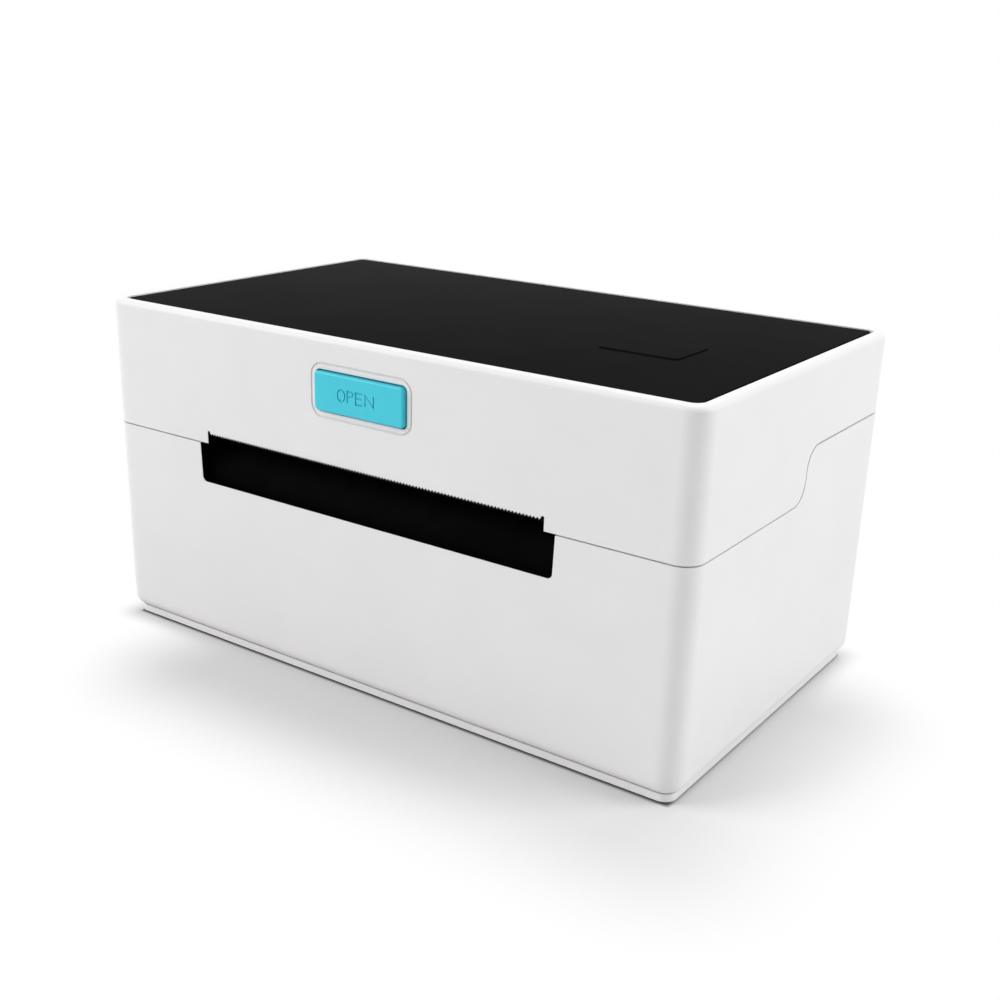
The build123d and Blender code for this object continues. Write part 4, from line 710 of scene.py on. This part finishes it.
def usb_lining():
    """The steel shell inside the USB mouth and the gold contacts on its tongue."""
    half_width = 4.25 * MM
    half_height = 3.9 * MM
    corner = 1.6 * MM
    corner_inset = 0.4
    sheet = 0.3 * MM
    depth = 8.6 * MM
    proud = 0.15 * MM
    low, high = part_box("usb_port")
    middle = (low + high) / 2
    front = high.y + proud

    def outline(inset, y):
        w = half_width - inset
        h = half_height - inset
        c = corner - inset * corner_inset
        corners = ((-w, -h), (w, -h), (w, h - c), (w - c, h), (c - w, h), (-w, h - c))
        return [(middle.x + x, y, middle.z + z) for x, z in corners]

    rings = (
        outline(0, front - depth),
        outline(0, front),
        outline(sheet * 0.5, front + sheet * 0.4),
        outline(sheet, front),
        outline(sheet, front - depth),
    )
    new_piece("usb_shell", skin(rings, wrap=True), finishes["steel"], "base")

    tongue_half = 1.6 * MM
    sunk = 0.02 * MM
    bar_apart = 1.4 * MM
    bar_half = 0.5 * MM
    bar_thick = 0.12 * MM
    # How far behind the mouth, and the share of the full width and thickness there
    nose = ((0.4 * MM, 0.6, 0.3), (0.7 * MM, 1.0, 1.0), (7.5 * MM, 1.0, 1.0))
    bars = []
    for level in (-1, 1):
        near = middle.z + level * (tongue_half - sunk)
        for side in (-1, 1):
            x = middle.x + side * bar_apart
            rings = []
            for behind, wide, thick in nose:
                y = high.y - behind
                left = x - bar_half * wide
                right = x + bar_half * wide
                far = near + level * bar_thick * thick
                rings.append([(left, y, near), (right, y, near), (right, y, far), (left, y, far)])
            bars.append(skin(rings))
    new_piece("usb_contacts", joined(bars), finishes["gold_contact"], "base")


def jack_lining():
    """The metal barrel and pin of the power socket."""
    bore = 3.1 * MM
    wall = 0.25 * MM
    pin = 1.12 * MM
    pin_end = 0.27 * MM
    depth = 9.4 * MM
    middle = Vector((-30.0, 0, 15.1)) * MM
    _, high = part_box("power_jack")
    front = high.y
    barrel = [
        (bore, front - depth),
        (bore, front - 0.6 * MM),
        (bore - wall * 0.5, front - 0.4 * MM),
        (bore - wall, front - 0.6 * MM),
        (bore - wall, front - depth),
    ]
    rounded_pin = [
        (pin, front - depth),
        (pin, front - 0.5 * MM),
        (pin * 0.92, front - 0.12 * MM),
        (pin * 0.7, front + 0.06 * MM),
        (pin_end, front + 0.12 * MM),
    ]
    meshes = [lathe(barrel, middle, wrap=True), lathe(rounded_pin, middle, sides=20)]
    new_piece("jack_metal", joined(meshes), finishes["steel"], "base")


def heater_bead():
    """The dark glazed line under the ceramic that does the printing."""
    half_length = 56 * MM
    half_width = 0.7 * MM
    proud = 0.05 * MM
    y = -39.0 * MM
    sides = 8
    # Share of the half length, and of the full section there
    taper = ((-1, 0.2), (-0.995, 0.7), (-0.985, 1), (0.985, 1), (0.995, 0.7), (1, 0.2))
    low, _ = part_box("head_ceramic")
    rings = []
    for x, share in taper:
        ring = []
        for i in range(sides + 1):
            a = math.pi * i / sides
            aside = half_width * share * math.cos(a)
            down = proud * share * math.sin(a)
            ring.append((x * half_length, y + aside, low.z - down))
        rings.append(ring)
    new_piece("heater_bead", skin(rings), finishes["heater_line"], "head")


make_camera()
finishes = {
    made.name: made
    for made in (
        white_plastic(),
        black_panel(),
        blue_plastic(),
        black_plastic(),
        chute_black_and_painted_shade(),
        grey_plastic(),
        white_nylon(),
        steel(),
        spring_steel(),
        aluminium(),
        brass(),
        gold_contact(),
        black_rubber(),
        ceramic(),
        heater_line(),
        board_green(),
        flat_cable(),
        led_clear(),
        printed_white(),
    )
}
dress_frame(finishes)
engraved_button()
painted_shade_sheets()
coil_springs()
head_ribbon()
rocker_marks()
usb_lining()
jack_lining()
heater_bead()


# Floor, light and background
def combined(tree, operation, first, second):
    """A sum or product of two node outputs, held between 0 and 1."""
    node = tree.nodes.new("ShaderNodeMath")
    node.operation = operation
    node.use_clamp = True
    tree.links.new(first, node.inputs[0])
    tree.links.new(second, node.inputs[1])
    return node.outputs["Value"]


def make_floor():
    """A pale floor: painted shade under the body and along its contact line, in real shadow in
    front and close by, white further out.
    """
    shade_middle = (26.5 * MM, -30 * MM)
    shade_half = (71.5 * MM, 40 * MM)
    shade_end = 42 * MM
    contact_end = 9 * MM
    body_half = (91.8 * MM, 52.6 * MM)
    painted_shade_fade = 1.5 * MM
    painted_contact_shade = (0.2, 0.2, 0.2, 1)
    pale = (0.74, 0.74, 0.74, 1)
    half_size = 4
    mesh = bpy.data.meshes.new("floor")
    sheet = bmesh.new()
    bmesh.ops.create_grid(sheet, x_segments=1, y_segments=1, size=half_size)
    sheet.to_mesh(mesh)
    sheet.free()
    floor = bpy.data.objects.new("floor", mesh)
    bpy.context.scene.collection.objects.link(floor)
    material = bpy.data.materials.new("floor")
    material.use_nodes = True
    tree = material.node_tree
    link = tree.links.new
    place = tree.nodes.new("ShaderNodeTexCoord").outputs["Object"]

    def away_from(middle, half):
        """The distance outside a rectangle on the floor."""
        vector = place
        for operation, value in (
            ("SUBTRACT", (*middle, 0)),
            ("ABSOLUTE", None),
            ("SUBTRACT", (*half, 0)),
            ("MAXIMUM", (0, 0, 0)),
        ):
            node = tree.nodes.new("ShaderNodeVectorMath")
            node.operation = operation
            link(vector, node.inputs[0])
            if value:
                node.inputs[1].default_value = value
            vector = node.outputs["Vector"]
        length = tree.nodes.new("ShaderNodeVectorMath")
        length.operation = "LENGTH"
        link(vector, length.inputs[0])
        return length.outputs["Value"]

    def rising(value, end):
        """0 at no distance, 1 from end on."""
        ramp = tree.nodes.new("ShaderNodeMapRange")
        ramp.interpolation_type = "SMOOTHSTEP"
        ramp.inputs["From Max"].default_value = end
        link(value, ramp.inputs["Value"])
        return ramp.outputs["Result"]

    diffuse = tree.nodes["Principled BSDF"]
    diffuse.inputs["Roughness"].default_value = 0.9
    diffuse.inputs["Specular IOR Level"].default_value = 0.0
    colour = tree.nodes.new("ShaderNodeMix")
    colour.data_type = "RGBA"
    colour.inputs["A"].default_value = painted_contact_shade
    colour.inputs["B"].default_value = pale
    # Painted shade: the floor is dark grey under the body and fades to pale within a mm and a half
    # outside it, as a contact shadow.
    link(rising(away_from((0, 0), body_half), painted_shade_fade), colour.inputs["Factor"])
    link(colour.outputs["Result"], diffuse.inputs["Base Color"])
    white = tree.nodes.new("ShaderNodeEmission")
    white.inputs["Color"].default_value = (1, 1, 1, 1)
    ray = tree.nodes.new("ShaderNodeLightPath")
    seen = combined(tree, "ADD", ray.outputs["Is Camera Ray"], ray.outputs["Is Glossy Ray"])
    out_of_shade = rising(away_from(shade_middle, shade_half), shade_end)
    off_contact = rising(away_from((0, 0), body_half), contact_end)
    open_floor = combined(tree, "MULTIPLY", out_of_shade, off_contact)
    mix = tree.nodes.new("ShaderNodeMixShader")
    link(combined(tree, "MULTIPLY", open_floor, seen), mix.inputs["Fac"])
    link(diffuse.outputs["BSDF"], mix.inputs[1])
    link(white.outputs["Emission"], mix.inputs[2])
    link(mix.outputs["Shader"], tree.nodes["Material Output"].inputs["Surface"])
    mesh.materials.append(material)


def make_world():
    """Soft light from all round, seen as white by the camera and in gloss and glass."""
    ambient = 0.42
    world = bpy.data.worlds.new("studio")
    bpy.context.scene.world = world
    world.use_nodes = True
    tree = world.node_tree
    background = tree.nodes["Background"]
    background.inputs["Color"].default_value = (1, 1, 1, 1)
    ray = tree.nodes.new("ShaderNodeLightPath")
    seen = combined(tree, "ADD", ray.outputs["Is Camera Ray"], ray.outputs["Is Glossy Ray"])
    seen = combined(tree, "ADD", seen, ray.outputs["Is Transmission Ray"])
    level = tree.nodes.new("ShaderNodeMapRange")
    level.inputs["To Min"].default_value = ambient
    level.inputs["To Max"].default_value = 1.0
    tree.links.new(seen, level.inputs["Value"])
    tree.links.new(level.outputs["Result"], background.inputs["Strength"])


def softbox(name, azimuth, elevation, size, watts):
    """A square lamp aimed at the object. Azimuth 0 is in front and 90 on the right."""
    distance = 1.4
    target = Vector((0, 0, 50 * MM))
    a = math.radians(azimuth)
    e = math.radians(elevation)
    away = Vector((math.sin(a) * math.cos(e), -math.cos(a) * math.cos(e), math.sin(e)))
    data = bpy.data.lights.new(name, "AREA")
    data.shape = "SQUARE"
    data.size = size
    data.energy = watts
    lamp = bpy.data.objects.new(name, data)
    bpy.context.scene.collection.objects.link(lamp)
    lamp.location = target + away * distance
    lamp.rotation_mode = "QUATERNION"
    lamp.rotation_quaternion = away.to_track_quat("Z", "Y")


make_floor()
make_world()
softbox("front_left", azimuth=-44, elevation=32, size=0.8, watts=11.4)
softbox("right_back", azimuth=112, elevation=32, size=0.8, watts=10.4)
softbox("overhead", azimuth=-165, elevation=66, size=0.9, watts=6.0)
bpy.context.scene.view_settings.view_transform = "Standard"
